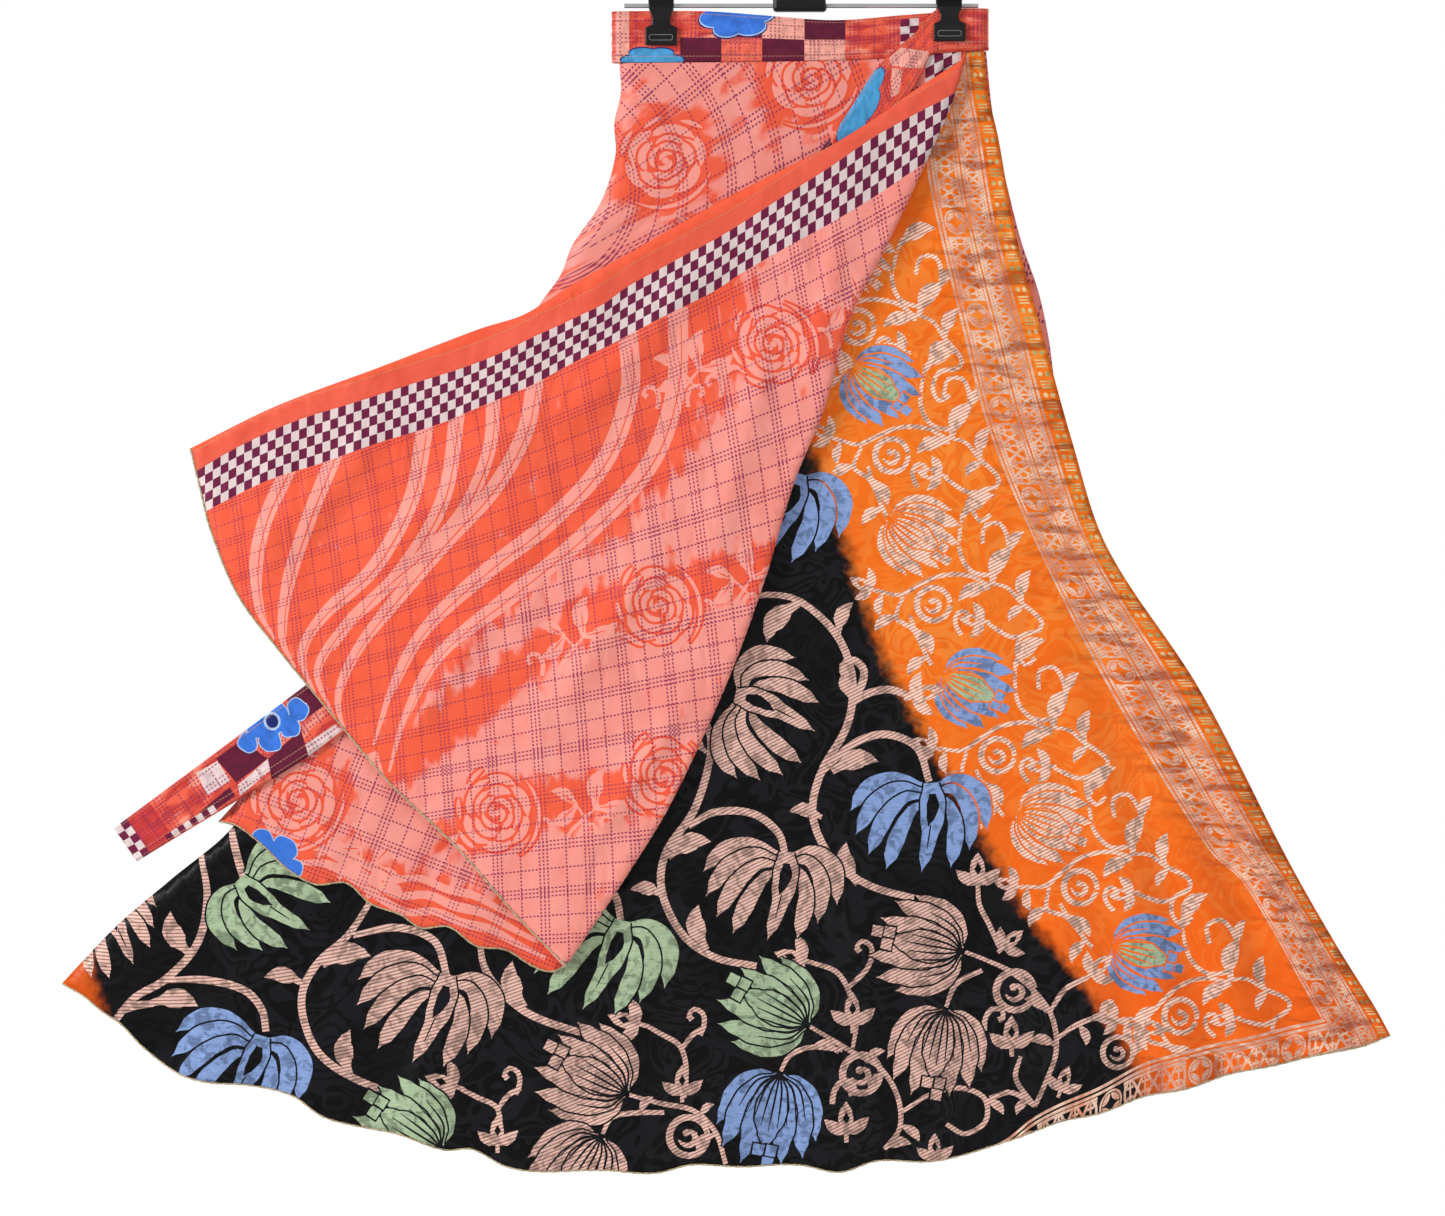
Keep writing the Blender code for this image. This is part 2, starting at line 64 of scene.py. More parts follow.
# %% Lengths and the outlines of the cloth
MM = 0.001
TOP_Z = -114.7  # height of the waistband's top in the frame
HEM_DROP = 906.0  # the hem's lowest point
CLOTH = 0.6  # thickness of a sheet
BAND_WALL = 3.0  # thickness of the folded waistband
BAND_MIDDLE = 2.5  # depth of the middle of that wall
BAND_WIDE = 40.0
BAND_END_X = (-143.5, 142.3)
STRAP_WALL = 1.2
STRAP_WIDE = 40.0  # on the average: the tie widens a little towards the fold
LAYER_STEP = (1.5, 2.8)  # from the under layer up to the outer one, at the waist and below it
STRAP_STEP = (1.8, 2.5)  # from the outer layer up to the tie, in the same two places
FLAP_STEP = 5.4  # from the outer layer up to the flap
FOLD_MIDDLE = (0.0, -242.0)  # where the lines of all folds would meet

BAND_TOP = [(-144, 0), (-74, 0), (-31, 3), (27, 7), (81, 3), (147, -2)]
BAND_BOTTOM = [(-144, 40), (-20, 39), (60, 37), (105, 33), (147, 30)]
UNDER_LEFT = [(-134, 41), (-138, 109), (-149, 150), (-196, 235), (-256, 328), (-324, 445),
              (-386, 550), (-442, 636), (-492, 679), (-533, 714), (-577, 760)]
UNDER_HEM = [(-577, 760), (-560, 769), (-545, 781), (-530, 791), (-512, 810), (-486, 829),
             (-464, 836), (-430, 839), (-396, 847), (-372, 863), (-345, 871), (-312, 877),
             (-278, 889), (-256, 889), (-229, 902), (-199, 906), (-150, 905), (-112, 907),
             (-84, 901), (-44, 902), (0, 901), (31, 906), (60, 898), (100, 898), (132, 892),
             (165, 881), (201, 868), (232, 861), (268, 848), (302, 841), (340, 829), (380, 821),
             (414, 813), (441, 808), (461, 800)]
UNDER_RIGHT = [(144, 32), (147, 63), (155, 98), (168, 171), (189, 250), (213, 337), (240, 419),
               (312, 530), (381, 663), (418, 728), (449, 778), (461, 800)]
UNDER_BACK_HEM = [(-577, 760), (-530, 783), (-486, 818), (-430, 832), (-396, 836), (-345, 862),
                  (-300, 867), (-256, 882), (-199, 893), (-150, 899), (-84, 893), (-20, 897),
                  (40, 893), (100, 887), (150, 880), (201, 858), (250, 847), (302, 829),
                  (360, 816), (414, 801), (444, 792)]
UNDER_BACK_RIGHT = [(142, 32), (152, 98), (185, 250), (235, 419), (305, 534), (372, 663),
                    (408, 726), (444, 792)]
OUTER_LEFT = [(-141, 40), (-140, 64), (-145, 87), (-144, 112), (-156, 150), (-178, 183),
              (-187, 206), (-204, 230), (-261, 326), (-328, 443), (-390, 548), (-429, 604),
              (-454, 633)]
OUTER_HEM = [(-454, 633), (-440, 636), (-420, 651), (-400, 670), (-378, 682), (-354, 681),
             (-335, 697), (-311, 706), (-296, 716), (-274, 715), (-252, 730), (-230, 733),
             (-208, 746), (-194, 750), (-182, 745)]
FOLD_LINE = [(131, 37), (118, 74), (89, 139), (66, 187), (39, 241), (19, 311), (-4, 367),
             (-28, 446), (-58, 527), (-101, 619), (-133, 672), (-161, 714), (-182, 745)]
FLAP_EDGE = [(126, 39), (87, 64), (62, 82), (24, 106), (-12, 124), (-48, 142), (-90, 165),
             (-135, 191), (-175, 213), (-200, 229), (-218, 239), (-250, 249), (-328, 279),
             (-408, 309), (-475, 342)]
FLAP_HEM = [(-475, 342), (-467, 375), (-459, 406), (-438, 456), (-406, 499), (-363, 551),
            (-320, 602), (-266, 654), (-218, 709), (-182, 745)]
OUTER_BACK_HEM = [(-454, 633), (-405, 652), (-372, 676), (-330, 688), (-290, 711), (-240, 722),
                  (-195, 745), (-140, 751), (-90, 765), (-40, 762), (10, 770), (60, 759),
                  (110, 756), (155, 738), (200, 729), (245, 706), (283, 694), (316, 671)]
OUTER_BACK_RIGHT = [(146, 32), (151, 78), (162, 133), (174, 180), (187, 218), (195, 254),
                    (201, 295), (213, 339), (226, 382), (257, 476), (289, 569), (316, 671)]
STRAP_UPPER = [(126, -2), (108, -2), (90, 17), (64, 40), (29, 92), (-100, 262), (-250, 421),
               (-385, 526), (-535, 638)]
STRAP_LOWER = [(126, 30), (112, 31), (102, 34), (96, 48), (74, 84), (-68, 294), (-222, 464),
               (-356, 564), (-517, 664)]
print("the skirt is", HEM_DROP, "mm from its waistband to its hem")

# %% [markdown]
# An outline is a smooth line through a few points. It is walked by its share of the length, so
# that the same share means the same place along two outlines.

# %% Smooth lines
class Outline:
    """A smooth line through a few points, walked by its share of the length."""

    def __init__(self, points):
        self.points = [Vector(p) for p in points]
        self.at = [0.0]
        for a, b in zip(self.points, self.points[1:]):
            self.at.append(self.at[-1] + (b - a).length)
        self.length = self.at[-1]

    def __call__(self, share):
        along = limited(share) * self.length
        i = max(min(bisect_right(self.at, along) - 1, len(self.points) - 2), 0)
        span = self.at[i + 1] - self.at[i]
        t = (along - self.at[i]) / span
        a, b = self.points[i], self.points[i + 1]
        return (
            (2 * t**3 - 3 * t**2 + 1) * a
            + (t**3 - 2 * t**2 + t) * span * self.slope(i)
            + (3 * t**2 - 2 * t**3) * b
            + (t**3 - t**2) * span * self.slope(i + 1)
        )

    def slope(self, i):
        low, high = max(i - 1, 0), min(i + 1, len(self.points) - 1)
        return (self.points[high] - self.points[low]) / (self.at[high] - self.at[low])

    def sampled(self, step=5.0):
        count = max(2, round(self.length / step))
        return [self(i / count) for i in range(count + 1)]


class Track:
    """Looks up, for one coordinate of a line, the other one and the length walked so far."""

    def __init__(self, points, by=0):
        rows, walked, last = [], 0.0, None
        for point in Outline(points).sampled(4.0):
            walked += (point - last).length if last is not None else 0.0
            rows.append((point[by], point[1 - by], walked))
            last = point
        if rows[0][0] > rows[-1][0]:
            rows.reverse()
        self.keys, self.rows = [row[0] for row in rows], rows

    def __call__(self, key):
        i = min(max(bisect_right(self.keys, key) - 1, 0), len(self.rows) - 2)
        a, b = self.rows[i], self.rows[i + 1]
        t = limited((key - a[0]) / max(b[0] - a[0], 1e-6))
        return a[1] + (b[1] - a[1]) * t, a[2] + (b[2] - a[2]) * t


def limited(value):
    return min(max(value, 0.0), 1.0)


def smooth_step(value):
    t = limited(value)
    return t * t * (3 - 2 * t)


band_bottom = Track(BAND_BOTTOM)
print("the front hem is", round(Outline(UNDER_HEM).length), "mm long")

# %% [markdown]
# ## How the cloth lies
#
# Bias-cut cloth falls in soft cone-shaped folds that fan out from the waist, and it also keeps
# small creases from being folded away. A cloth simulation would find folds of its own. Here they
# are listed one by one, because the photograph shows where they are. Each layer adds its own step
# to the layer below, so no two of them ever cross.

# %% Folds and creases, listed one by one
# angle from straight down, height at the hem, half width in degrees, drop where it starts
FRONT_FOLDS = [
    (-27.4, 5.0, 1.9, 680), (-23.4, 6.0, 2.1, 640), (-19.0, 5.0, 2.0, 660),
    (-14.9, 6.5, 2.2, 600), (-10.6, 5.0, 2.0, 680), (-6.6, 6.0, 2.1, 620),
    (-2.6, 5.0, 1.9, 660), (1.3, 6.5, 2.1, 600), (5.2, 5.0, 1.9, 640), (8.9, 6.0, 1.9, 560),
    (12.3, 5.0, 1.7, 470), (15.5, 6.0, 1.7, 330), (18.7, 6.5, 1.6, 210), (21.6, 6.0, 1.5, 150),
]
BACK_FOLDS = [
    (-25.4, 5.0, 2.2, 640), (-20.6, 6.5, 2.6, 520), (-15.4, 5.0, 2.4, 640),
    (-10.0, 7.0, 3.2, 380), (-4.0, 5.0, 2.6, 620), (1.6, 7.0, 3.2, 400), (7.2, 5.0, 2.4, 620),
    (12.4, 6.5, 3.0, 420), (17.4, 5.0, 2.2, 600), (21.4, 5.0, 1.9, 560),
]
OUTER_FOLDS = [(-26.4, 2.5, 1.6, 600), (-22.8, 3.0, 1.8, 560), (-18.9, 2.5, 1.7, 600),
               (-15.2, 3.0, 1.7, 560)]
FLAP_FOLDS = [(-50.0, 3.0, 5.0, 260), (-39.0, 3.5, 4.8, 320), (-29.5, 2.5, 4.0, 420),
              (-21.5, 3.5, 3.4, 470)]
# from (x, drop) to (x, drop), half width, height
FRONT_CREASES = [
    (-128, 66, -96, 120, 7, 0.8), (-60, 46, -72, 130, 9, 0.7), (-10, 44, 6, 96, 6, 0.8),
    (178, 190, 205, 330, 6, 1.2), (160, 120, 182, 240, 4, 1.0), (220, 380, 290, 520, 7, 1.3),
    (300, 540, 352, 640, 6, 1.0), (120, 560, 190, 700, 11, 0.9), (30, 430, 70, 560, 10, 0.9),
    (-20, 640, 20, 770, 12, 1.0), (-420, 690, -300, 760, 10, 1.1), (-210, 780, -120, 830, 9, 1.0),
    (380, 720, 300, 790, 8, 1.1), (230, 700, 250, 820, 10, 1.0),
]
FLAP_CREASES = [
    (-60, 190, -190, 330, 14, 1.6), (-20, 250, -70, 430, 12, 1.3), (-190, 300, -330, 430, 16, 1.5),
    (-330, 330, -400, 420, 12, 1.4), (-110, 420, -200, 560, 15, 1.7),
    (-250, 480, -300, 560, 10, 1.2), (-90, 540, -170, 660, 11, 1.4), (30, 180, 10, 280, 9, 1.0),
    (-150, 240, -240, 270, 8, 0.9), (-380, 370, -430, 430, 9, 1.1),
]
BACK_CREASES = [
    (-90, 60, -120, 200, 10, 1.0), (40, 60, 30, 220, 12, 1.1), (110, 70, 150, 260, 9, 1.0),
    (-200, 300, -330, 560, 16, 1.5), (-40, 260, -70, 520, 15, 1.4), (120, 330, 180, 560, 14, 1.3),
    (-300, 640, -220, 720, 11, 1.2), (60, 560, 90, 730, 13, 1.3), (250, 600, 300, 760, 10, 1.1),
]


def folds(table, at):
    angle = math.degrees(math.atan2(at.x - FOLD_MIDDLE[0], at.y - FOLD_MIDDLE[1]))
    lift = 0.0
    for middle, height, half_width, start in table:
        off = (angle - middle) / half_width
        if abs(off) < 1 and at.y > start:
            grown = smooth_step((at.y - start) / (HEM_DROP - start))
            lift += height * grown * (0.5 + 0.5 * math.cos(math.pi * off))
    return lift


def creases(table, at):
    lift = 0.0
    for x0, d0, x1, d1, half_width, height in table:
        run = Vector((x1 - x0, d1 - d0))
        share = (at - Vector((x0, d0))).dot(run) / run.length_squared
        if -0.2 < share < 1.2:
            off = (at - Vector((x0, d0)) - run * share).length / half_width
            if off < 2.2:
                ends = smooth_step((share + 0.2) / 0.5) * smooth_step((1.2 - share) / 0.5)
                lift += height * ends * math.exp(-off * off)
    return lift


def hollow(at):
    return 1.2 + 4.8 * max(at.y, 0.0) / HEM_DROP


def spread(step, at):
    return step[0] + (step[1] - step[0]) * smooth_step((at.y - 30) / 110.0)


def under_depth(at):
    return hollow(at) + 0.5 + folds(FRONT_FOLDS, at) + creases(FRONT_CREASES, at)


def outer_depth(at):
    return under_depth(at) + spread(LAYER_STEP, at) + folds(OUTER_FOLDS, at)


def flap_depth(at):
    wave = noise.noise(Vector((at.x * 0.011, at.y * 0.006, 3.0)))
    return (outer_depth(at) + FLAP_STEP + folds(FLAP_FOLDS, at)
            + 2.6 * creases(FLAP_CREASES, at) + 2.4 * (1 + wave) * smooth_step((at.y - 60) / 80))


def under_back_depth(at):
    return hollow(at) + 0.5 + folds(BACK_FOLDS, at) + creases(BACK_CREASES, at)


def outer_back_depth(at):
    return under_back_depth(at) + spread(LAYER_STEP, at)


def spot(at, depth):
    return Vector((at.x, -depth, TOP_Z - at.y)) * MM


print("the flap lies", round(flap_depth(Vector((-200, 400))), 1), "mm in front of the middle")

# %% [markdown]
# ## Print shapes
#
# The brocade's lotuses and vines have crisp woven edges. They could be painted in an image, but
# then they would be as coarse as its pixels. Here each one is a flat shape, and the cloth is later
# cut along all of them, so its faces can be dyed one by one. Nothing stands up from the cloth.
# Later shapes cover earlier ones, as in painting.

# %% Dyes
def rgb(red, green, blue):
    """A colour as the screen shows it, in the linear values that shaders use."""
    return tuple(
        c / 12.92 if c <= 0.04045 else ((c + 0.055) / 1.055) ** 2.4
        for c in (red / 255, green / 255, blue / 255)
    )


# name: colour, how much it covers the ground, how much of it is hatched by single threads
DYES = {
    "ground": ((0.0, 0.0, 0.0), 0.0, 0.0),
    "beige": (rgb(216, 176, 163), 1.0, 1.0),
    "green": (rgb(154, 173, 141), 1.0, 0.0),
    "blue": (rgb(123, 147, 194), 1.0, 0.0),
    "dark": (rgb(18, 17, 22), 1.0, 0.0),
    "salmon": (rgb(255, 160, 146), 1.0, 0.0),
    "red": (rgb(246, 92, 62), 1.0, 0.0),
    "burgundy": (rgb(108, 24, 56), 1.0, 1.0),
    "plum": (rgb(112, 24, 62), 1.0, 1.0),
    "block": (rgb(98, 20, 50), 1.0, 1.0),
    "pale": (rgb(226, 208, 206), 1.0, 1.0),
    "pink": (rgb(242, 166, 150), 1.0, 0.0),
    "crimson": (rgb(198, 56, 56), 1.0, 0.0),
    "milky": (rgb(232, 204, 204), 1.0, 0.0),
    "orange": (rgb(236, 106, 84), 1.0, 0.0),
    "warm": (rgb(232, 86, 62), 1.0, 0.0),
    "sky": (rgb(58, 118, 218), 1.0, 1.0),
    "lake": (rgb(74, 158, 212), 1.0, 1.0),
    "navy": (rgb(28, 40, 110), 1.0, 1.0),
    "rim": (rgb(176, 200, 236), 1.0, 1.0),
    "flat_red": (rgb(244, 88, 58), 1.0, 1.0),
}
print(len(DYES), "dyes")

# %% [markdown]
# Nearly every motif is a blade: a smooth line with a width that changes along it. A petal, a leaf,
# a vine and a curl are all blades, so one helper draws them all.

# %% Blades, discs and the frame that a motif is drawn in
def blade(points, half_widths, step=3.5):
    """The outline round a smooth line, with its half widths given at even shares."""
    route = Outline(points)
    count = max(6, min(40, round(route.length / step)))
    left, right = [], []
    for i in range(count + 1):
        share = i / count
        ahead = (route(share + 0.02) - route(share - 0.02)).normalized()
        place = share * (len(half_widths) - 1)
        k = min(int(place), len(half_widths) - 2)
        t = smooth_step(place - k) if len(half_widths) > 2 else place - k
        half = half_widths[k] + (half_widths[k + 1] - half_widths[k]) * t
        side = Vector((-ahead.y, ahead.x)) * half
        left.append(route(share) + side)
        right.append(route(share) - side)
    return left + right[::-1]


def disc(middle, radius, count=16, squash=1.0):
    return [
        Vector(middle) + Vector((math.cos(a), squash * math.sin(a))) * radius
        for a in (2 * math.pi * i / count for i in range(count))
    ]


def drawn_at(at, heading, size, flip=1):
    """Turns a motif's own (side, ahead) into a place on the cloth; heading 0 is down, 90 right."""
    turn = math.radians(heading)
    ahead = Vector((math.sin(turn), math.cos(turn)))
    side = Vector((math.cos(turn), -math.sin(turn))) * flip
    return lambda u, v: Vector(at) + size * (side * u + ahead * v)


def arc(middle, radius, first, last, count=9, inner=None):
    """Points round a circle, or in a spiral when it ends on an inner radius."""
    inner = radius if inner is None else inner
    points = []
    for i in range(count + 1):
        share = i / count
        a = math.radians(first + (last - first) * share)
        points.append(Vector(middle) + Vector((math.cos(a), math.sin(a))) * (
            radius + (inner - radius) * share))
    return points


print("blade:", len(blade([(0, 0), (10, 30), (0, 60)], (0, 5, 0))), "points")

# %% [markdown]
# The drooping lotus has a long looped petal in its middle and curved petals that fall away on both
# sides. Each petal first clears a slightly larger blade down to the ground, which leaves the thin
# dark gap that separates the petals.

# %% The drooping lotus
GAP = 1.4  # between two petals
DROOP_PETALS = [  # side, middle line: the left petals reach further than the right ones
    (-1, (0.08, 0.02), (0.38, -0.06), (0.66, 0.03), (0.87, 0.28)),
    (-1, (0.08, 0.08), (0.34, 0.04), (0.60, 0.20), (0.82, 0.54)),
    (-1, (0.08, 0.14), (0.27, 0.15), (0.49, 0.36), (0.69, 0.76)),
    (-1, (0.07, 0.22), (0.19, 0.28), (0.35, 0.54), (0.50, 0.92)),
    (1, (0.08, 0.03), (0.32, -0.03), (0.54, 0.12), (0.61, 0.54)),
    (1, (0.08, 0.09), (0.27, 0.08), (0.42, 0.30), (0.41, 0.75)),
    (1, (0.07, 0.18), (0.19, 0.22), (0.27, 0.48), (0.20, 0.93)),
]
DROOP_WIDTHS = (0.3, 0.62, 0.86, 1.0, 0.82, 0.0)


def petal(shapes, points, half, profile, dye):
    shapes.append((blade(points, [half * w + GAP for w in profile]), "ground"))
    shapes.append((blade(points, [half * w for w in profile]), dye))


def drooping_lotus(at, heading, size, dye, flip=1):
    shapes = []
    put = drawn_at(at, heading, size, flip)
    for side, *points in DROOP_PETALS:
        line = [put(side * u, v) for u, v in points]
        petal(shapes, line, 0.092 * size, DROOP_WIDTHS, dye)
    middle = [put(0.02, 0.0), put(0.03, 0.22), put(0.0, 0.5), put(-0.12, 0.97)]
    petal(shapes, middle, 0.135 * size, (0.6, 1.0, 0.95, 0.62, 0.5, 0.0), dye)
    hole = [put(0.03, 0.12), put(0.03, 0.26), put(-0.03, 0.48)]
    shapes.append((blade(hole, [w * size for w in (0.035, 0.07, 0.05, 0.0)]), "ground"))
    slit = [put(0.0, 0.46), put(-0.05, 0.72)]
    shapes.append((blade(slit, (0.5, 0.6, 0.3)), "ground"))
    return shapes


print("a drooping lotus has", len(drooping_lotus((0, 0), 0, 80, "blue")), "shapes")

# %% [markdown]
# The open lotus is seen from its side: a bulb of broad petals, thin stamen lines that spread from
# the stem, and small square tips.

# %% The open lotus
OPEN_PETALS = [  # middle line, half width, whether it belongs to the heart
    ((0.03, 0.05), (0.24, 0.13), (0.40, 0.34), (0.52, 0.65), 0.125, False),
    ((0.03, 0.05), (0.19, 0.20), (0.31, 0.48), (0.42, 0.86), 0.135, False),
    ((0.02, 0.06), (0.09, 0.28), (0.14, 0.58), (0.21, 0.98), 0.135, False),
    ((0.0, 0.05), (0.01, 0.28), (0.01, 0.54), (0.0, 0.80), 0.16, True),
]
OPEN_WIDTHS = (0.2, 0.7, 1.0, 0.95, 0.55, 0.0)


def open_lotus(at, heading, size, dye, heart=None, line="ground", flip=1):
    shapes = []
    put = drawn_at(at, heading, size, flip)
    for *points, half, inner in OPEN_PETALS:
        for side in (-1, 1) if not inner else (1,):
            grown = 1.0 if side > 0 else 0.94
            drawn = [put(side * u * grown, v * grown) for u, v in points]
            petal(shapes, drawn, half * size, OPEN_WIDTHS, (heart if inner and heart else dye))
    for u, v in ((-0.065, 0.80), (0.06, 0.81), (-0.055, 0.925)):
        shapes.append((blade([put(u, v - 0.07), put(u, v + 0.07)],
                             (0.058 * size + GAP, 0.058 * size + GAP)), "ground"))
        shapes.append((blade([put(u, v - 0.055), put(u, v + 0.055)],
                             (0.058 * size, 0.054 * size)), dye))
    for i in range(9):
        lean = (i - 4) / 4
        reach = 0.62 - 0.2 * abs(lean)
        thread = [put(0.02 * lean, 0.04), put(0.22 * lean, 0.14 + 0.1 * (1 - abs(lean))),
                  put(0.34 * lean, reach)]
        shapes.append((blade(thread, (0.8, 0.8, 0.35)), line))
    return shapes


print("an open lotus has", len(open_lotus((0, 0), 0, 80, "green")), "shapes")

# %% [markdown]
# The small motifs between the lotuses: leaves on a short stalk, three-petalled flowers with a
# diamond hole, rings with a curl inside, and hooked ends.

# %% Leaves, small flowers, rings and hooks
def leaf(at, heading, size, dye, flip=1):
    put = drawn_at(at, heading, size, flip)
    points = [put(0, 0), put(0.05, 0.35), put(0.02, 0.7), put(-0.18, 1.0)]
    return [(blade(points, [w * size for w in (0.07, 0.09, 0.2, 0.21, 0.12, 0.0)]), dye)]


def small_flower(at, heading, size, dye):
    put = drawn_at(at, heading, size)
    shapes = [(blade([put(0, -0.25), put(0, 0.3)], (0.07 * size, 0.08 * size)), dye)]
    for points, half in (
        ([put(0.0, 0.16), put(-0.36, 0.24), put(-0.74, 0.56)], 0.21),
        ([put(0.0, 0.16), put(0.36, 0.22), put(0.72, 0.50)], 0.21),
        ([put(0.0, 0.2), put(0.02, 0.6), put(0.0, 1.08)], 0.25),
    ):
        shapes.append((blade(points, [half * size * w for w in (0.7, 1.0, 0.8, 0.0)]), dye))
    hole = [put(0, 0.34), put(0.12, 0.52), put(0, 0.74), put(-0.12, 0.52)]
    shapes.append((hole, "ground"))
    return shapes


def ring(at, radius, dye, turn=0.0):
    whole = arc(at, radius, turn, turn + 352, 20)
    curl = arc(at, radius * 0.55, turn + 160, turn - 120, 10, radius * 0.22)
    return [
        (blade(whole, (0.15 * radius, 0.19 * radius, 0.15 * radius)), dye),
        (blade(curl, [w * radius for w in (0.05, 0.15, 0.17, 0.1)]), dye),
        (disc(curl[-1], 0.2 * radius, 10), dye),
    ]


def hook(at, heading, size, dye, flip=1):
    put = drawn_at(at, heading, size, flip)
    points = [put(0, 0), put(-0.05, 0.45), put(0.12, 0.85), put(0.5, 0.92), put(0.62, 0.62),
              put(0.45, 0.5)]
    return [(blade(points, [w * size for w in (0.1, 0.1, 0.1, 0.09, 0.12)]), dye)]


def vine(points, half=3.0):
    return [(blade(points, (half * 0.75, half, half, half * 0.9), 5.0), "beige")]


print("a ring has", len(ring((0, 0), 15, "beige")), "shapes")

# %% [markdown]
# A rose is drawn from rings of crescents round a small disc. On the real cloth it is printed
# salmon on orange-red, so a red oval goes under it first, and a red rim parts the crescents.

# %% Roses, lobed flowers and ribbons of the coral print
# crescents in the ring, how far out it lies, half width, half of a crescent's sweep in degrees
ROSE_RINGS = ((6, 0.90, 0.15, 36), (5, 0.62, 0.125, 41), (4, 0.40, 0.095, 48), (2, 0.2, 0.065, 78))
# single crescents round the outside: how far out, half width, direction, half of the sweep
ROSE_OUTSIDE = ((1.3, 0.05, 84, 54), (1.22, 0.07, -52, 17), (1.2, 0.06, -96, 14),
                (1.22, 0.06, -146, 15))
RED_RIM = 2.1


def rose(at, radius, turn=0.0):
    """Rings of crescents with red between them, and a few long thin ones round the outside."""
    put = drawn_at(at, turn, radius)

    def crescent(far, half, middle, sweep):
        line = []
        for i in range(8):
            a = math.radians(middle + sweep * (i / 3.5 - 1))
            reach = far + 0.04 - 0.11 * i / 7
            line.append(put(0.88 * reach * math.sin(a), reach * math.cos(a)))
        widths = [radius * half * w for w in (0.1, 0.8, 1.0, 0.9, 0.2)]
        rim = [w + RED_RIM for w in widths]
        return [(blade(line, rim), "red"), (blade(line, widths), "salmon")]

    round_it = [2 * math.pi * i / 24 for i in range(24)]
    shapes = [([put(0.95 * math.sin(a), 1.04 * math.cos(a)) for a in round_it], "red")]
    for k, (count, far, half, sweep) in enumerate(ROSE_RINGS):
        for i in range(count):
            middle = 360 * i / count + 29 * k + 9 * math.sin(3 * i + k)
            shapes += crescent(far, half * (1 + 0.2 * math.sin(3 * i + k)), middle,
                               sweep * (1 + 0.15 * math.sin(5 * i + 2 * k)))
    for outside in ROSE_OUTSIDE:
        shapes += crescent(*outside)
    return shapes + [(disc(at, radius * 0.09, 8), "salmon")]


def spray(at, heading, size=22):
    """Two broad leaves on one stalk, each split by its rib."""
    shapes = []
    for lean, share in ((38, 1.0), (-44, 0.9)):
        shapes += leaf(at, heading + lean, size * share, "salmon", 1 if lean > 0 else -1)
        put = drawn_at(at, heading + lean, size * share)
        shapes.append((blade([put(0, 0.1), put(0.0, 0.62)], (0.3, 0.6, 0.2)), "red"))
    return shapes


def rose_leaves(at, turn=0.0):
    """What stands to the right of a rose: two pairs of leaves on stalks, hooks and an arch."""
    put = drawn_at(at, turn, 1.0)
    shapes = spray(put(62, -6), turn - 85, 25) + spray(put(77, -4), turn + 140, 31)
    stalk = [put(77, -4), put(66, 6), put(57, 15), put(54, 24)]
    shapes.append((blade(stalk, (0.8, 1.3, 1.6, 0.6)), "salmon"))
    twig = [put(62, -6), put(68, 3), put(72, 10)]
    shapes.append((blade(twig, (0.7, 1.2, 0.5)), "salmon"))
    for (u, v), flip in (((40, 22), 1), ((64, 24), -1), ((90, 20), 1)):
        shapes += hook(put(u, v), turn + 170, 18, "salmon", flip)
    arch = [put(92, 16), put(94, 4), put(104, -2), put(112, 4)]
    shapes.append((blade(arch, (1.2, 2.6, 2.2, 0.6)), "salmon"))
    return shapes


def bloom(at, radius, dye, lobes=6, turn=0.0, squash=1.0):
    """Overlapping discs round a heart."""
    put = drawn_at(at, turn, radius)
    shapes = []
    for i in range(lobes + 1):
        a = 2 * math.pi * i / lobes
        far, size = (0.6, 0.42 + 0.03 * math.sin(2 * i)) if i < lobes else (0.0, 0.56)
        points = []
        for j in range(16):
            b = 2 * math.pi * j / 16
            points.append(put(far * math.cos(a) + size * math.cos(b),
                              (far * math.sin(a) + size * math.sin(b)) * squash))
        shapes.append((points, dye))
    return shapes


def lobes_at(places, dye):
    """A flower with its lobes given one by one, middle and radius, and a thin pale rim."""
    shapes = []
    for grown, colour in ((0.8, "rim"), (0.0, dye)):
        for k, (middle, radius) in enumerate(places):
            lobe = [Vector(middle) + Vector((math.cos(a), math.sin(a))) *
                    (grown + radius * (1 + 0.07 * math.sin(3 * a + k) + 0.04 * math.sin(5 * a - k)))
                    for a in (2 * math.pi * i / 20 for i in range(20))]
            shapes.append((lobe, colour))
    return shapes


def ribbon(points, half):
    """A salmon stripe that thins out as it runs down, with a thin red line near one side."""
    route = Outline(points)
    middle = [route(0.03 + 0.9 * i / 12) + Vector((0.3 * half, 0.0)) for i in range(13)]
    return [(blade(points, [half * w for w in (1.0, 0.95, 0.9, 0.85, 0.6, 0.15)]), "salmon"),
            (blade(middle, (0.4, 0.55, 0.45, 0.3)), "red")]


print("a rose has", len(rose((0, 0), 26)), "shapes")

# %% [markdown]
# ## Where the motifs lie
#
# The brocade repeats drooping lotuses on arching vines. Towards its end the lotuses open, and
# rings and small flowers fill the room between them.

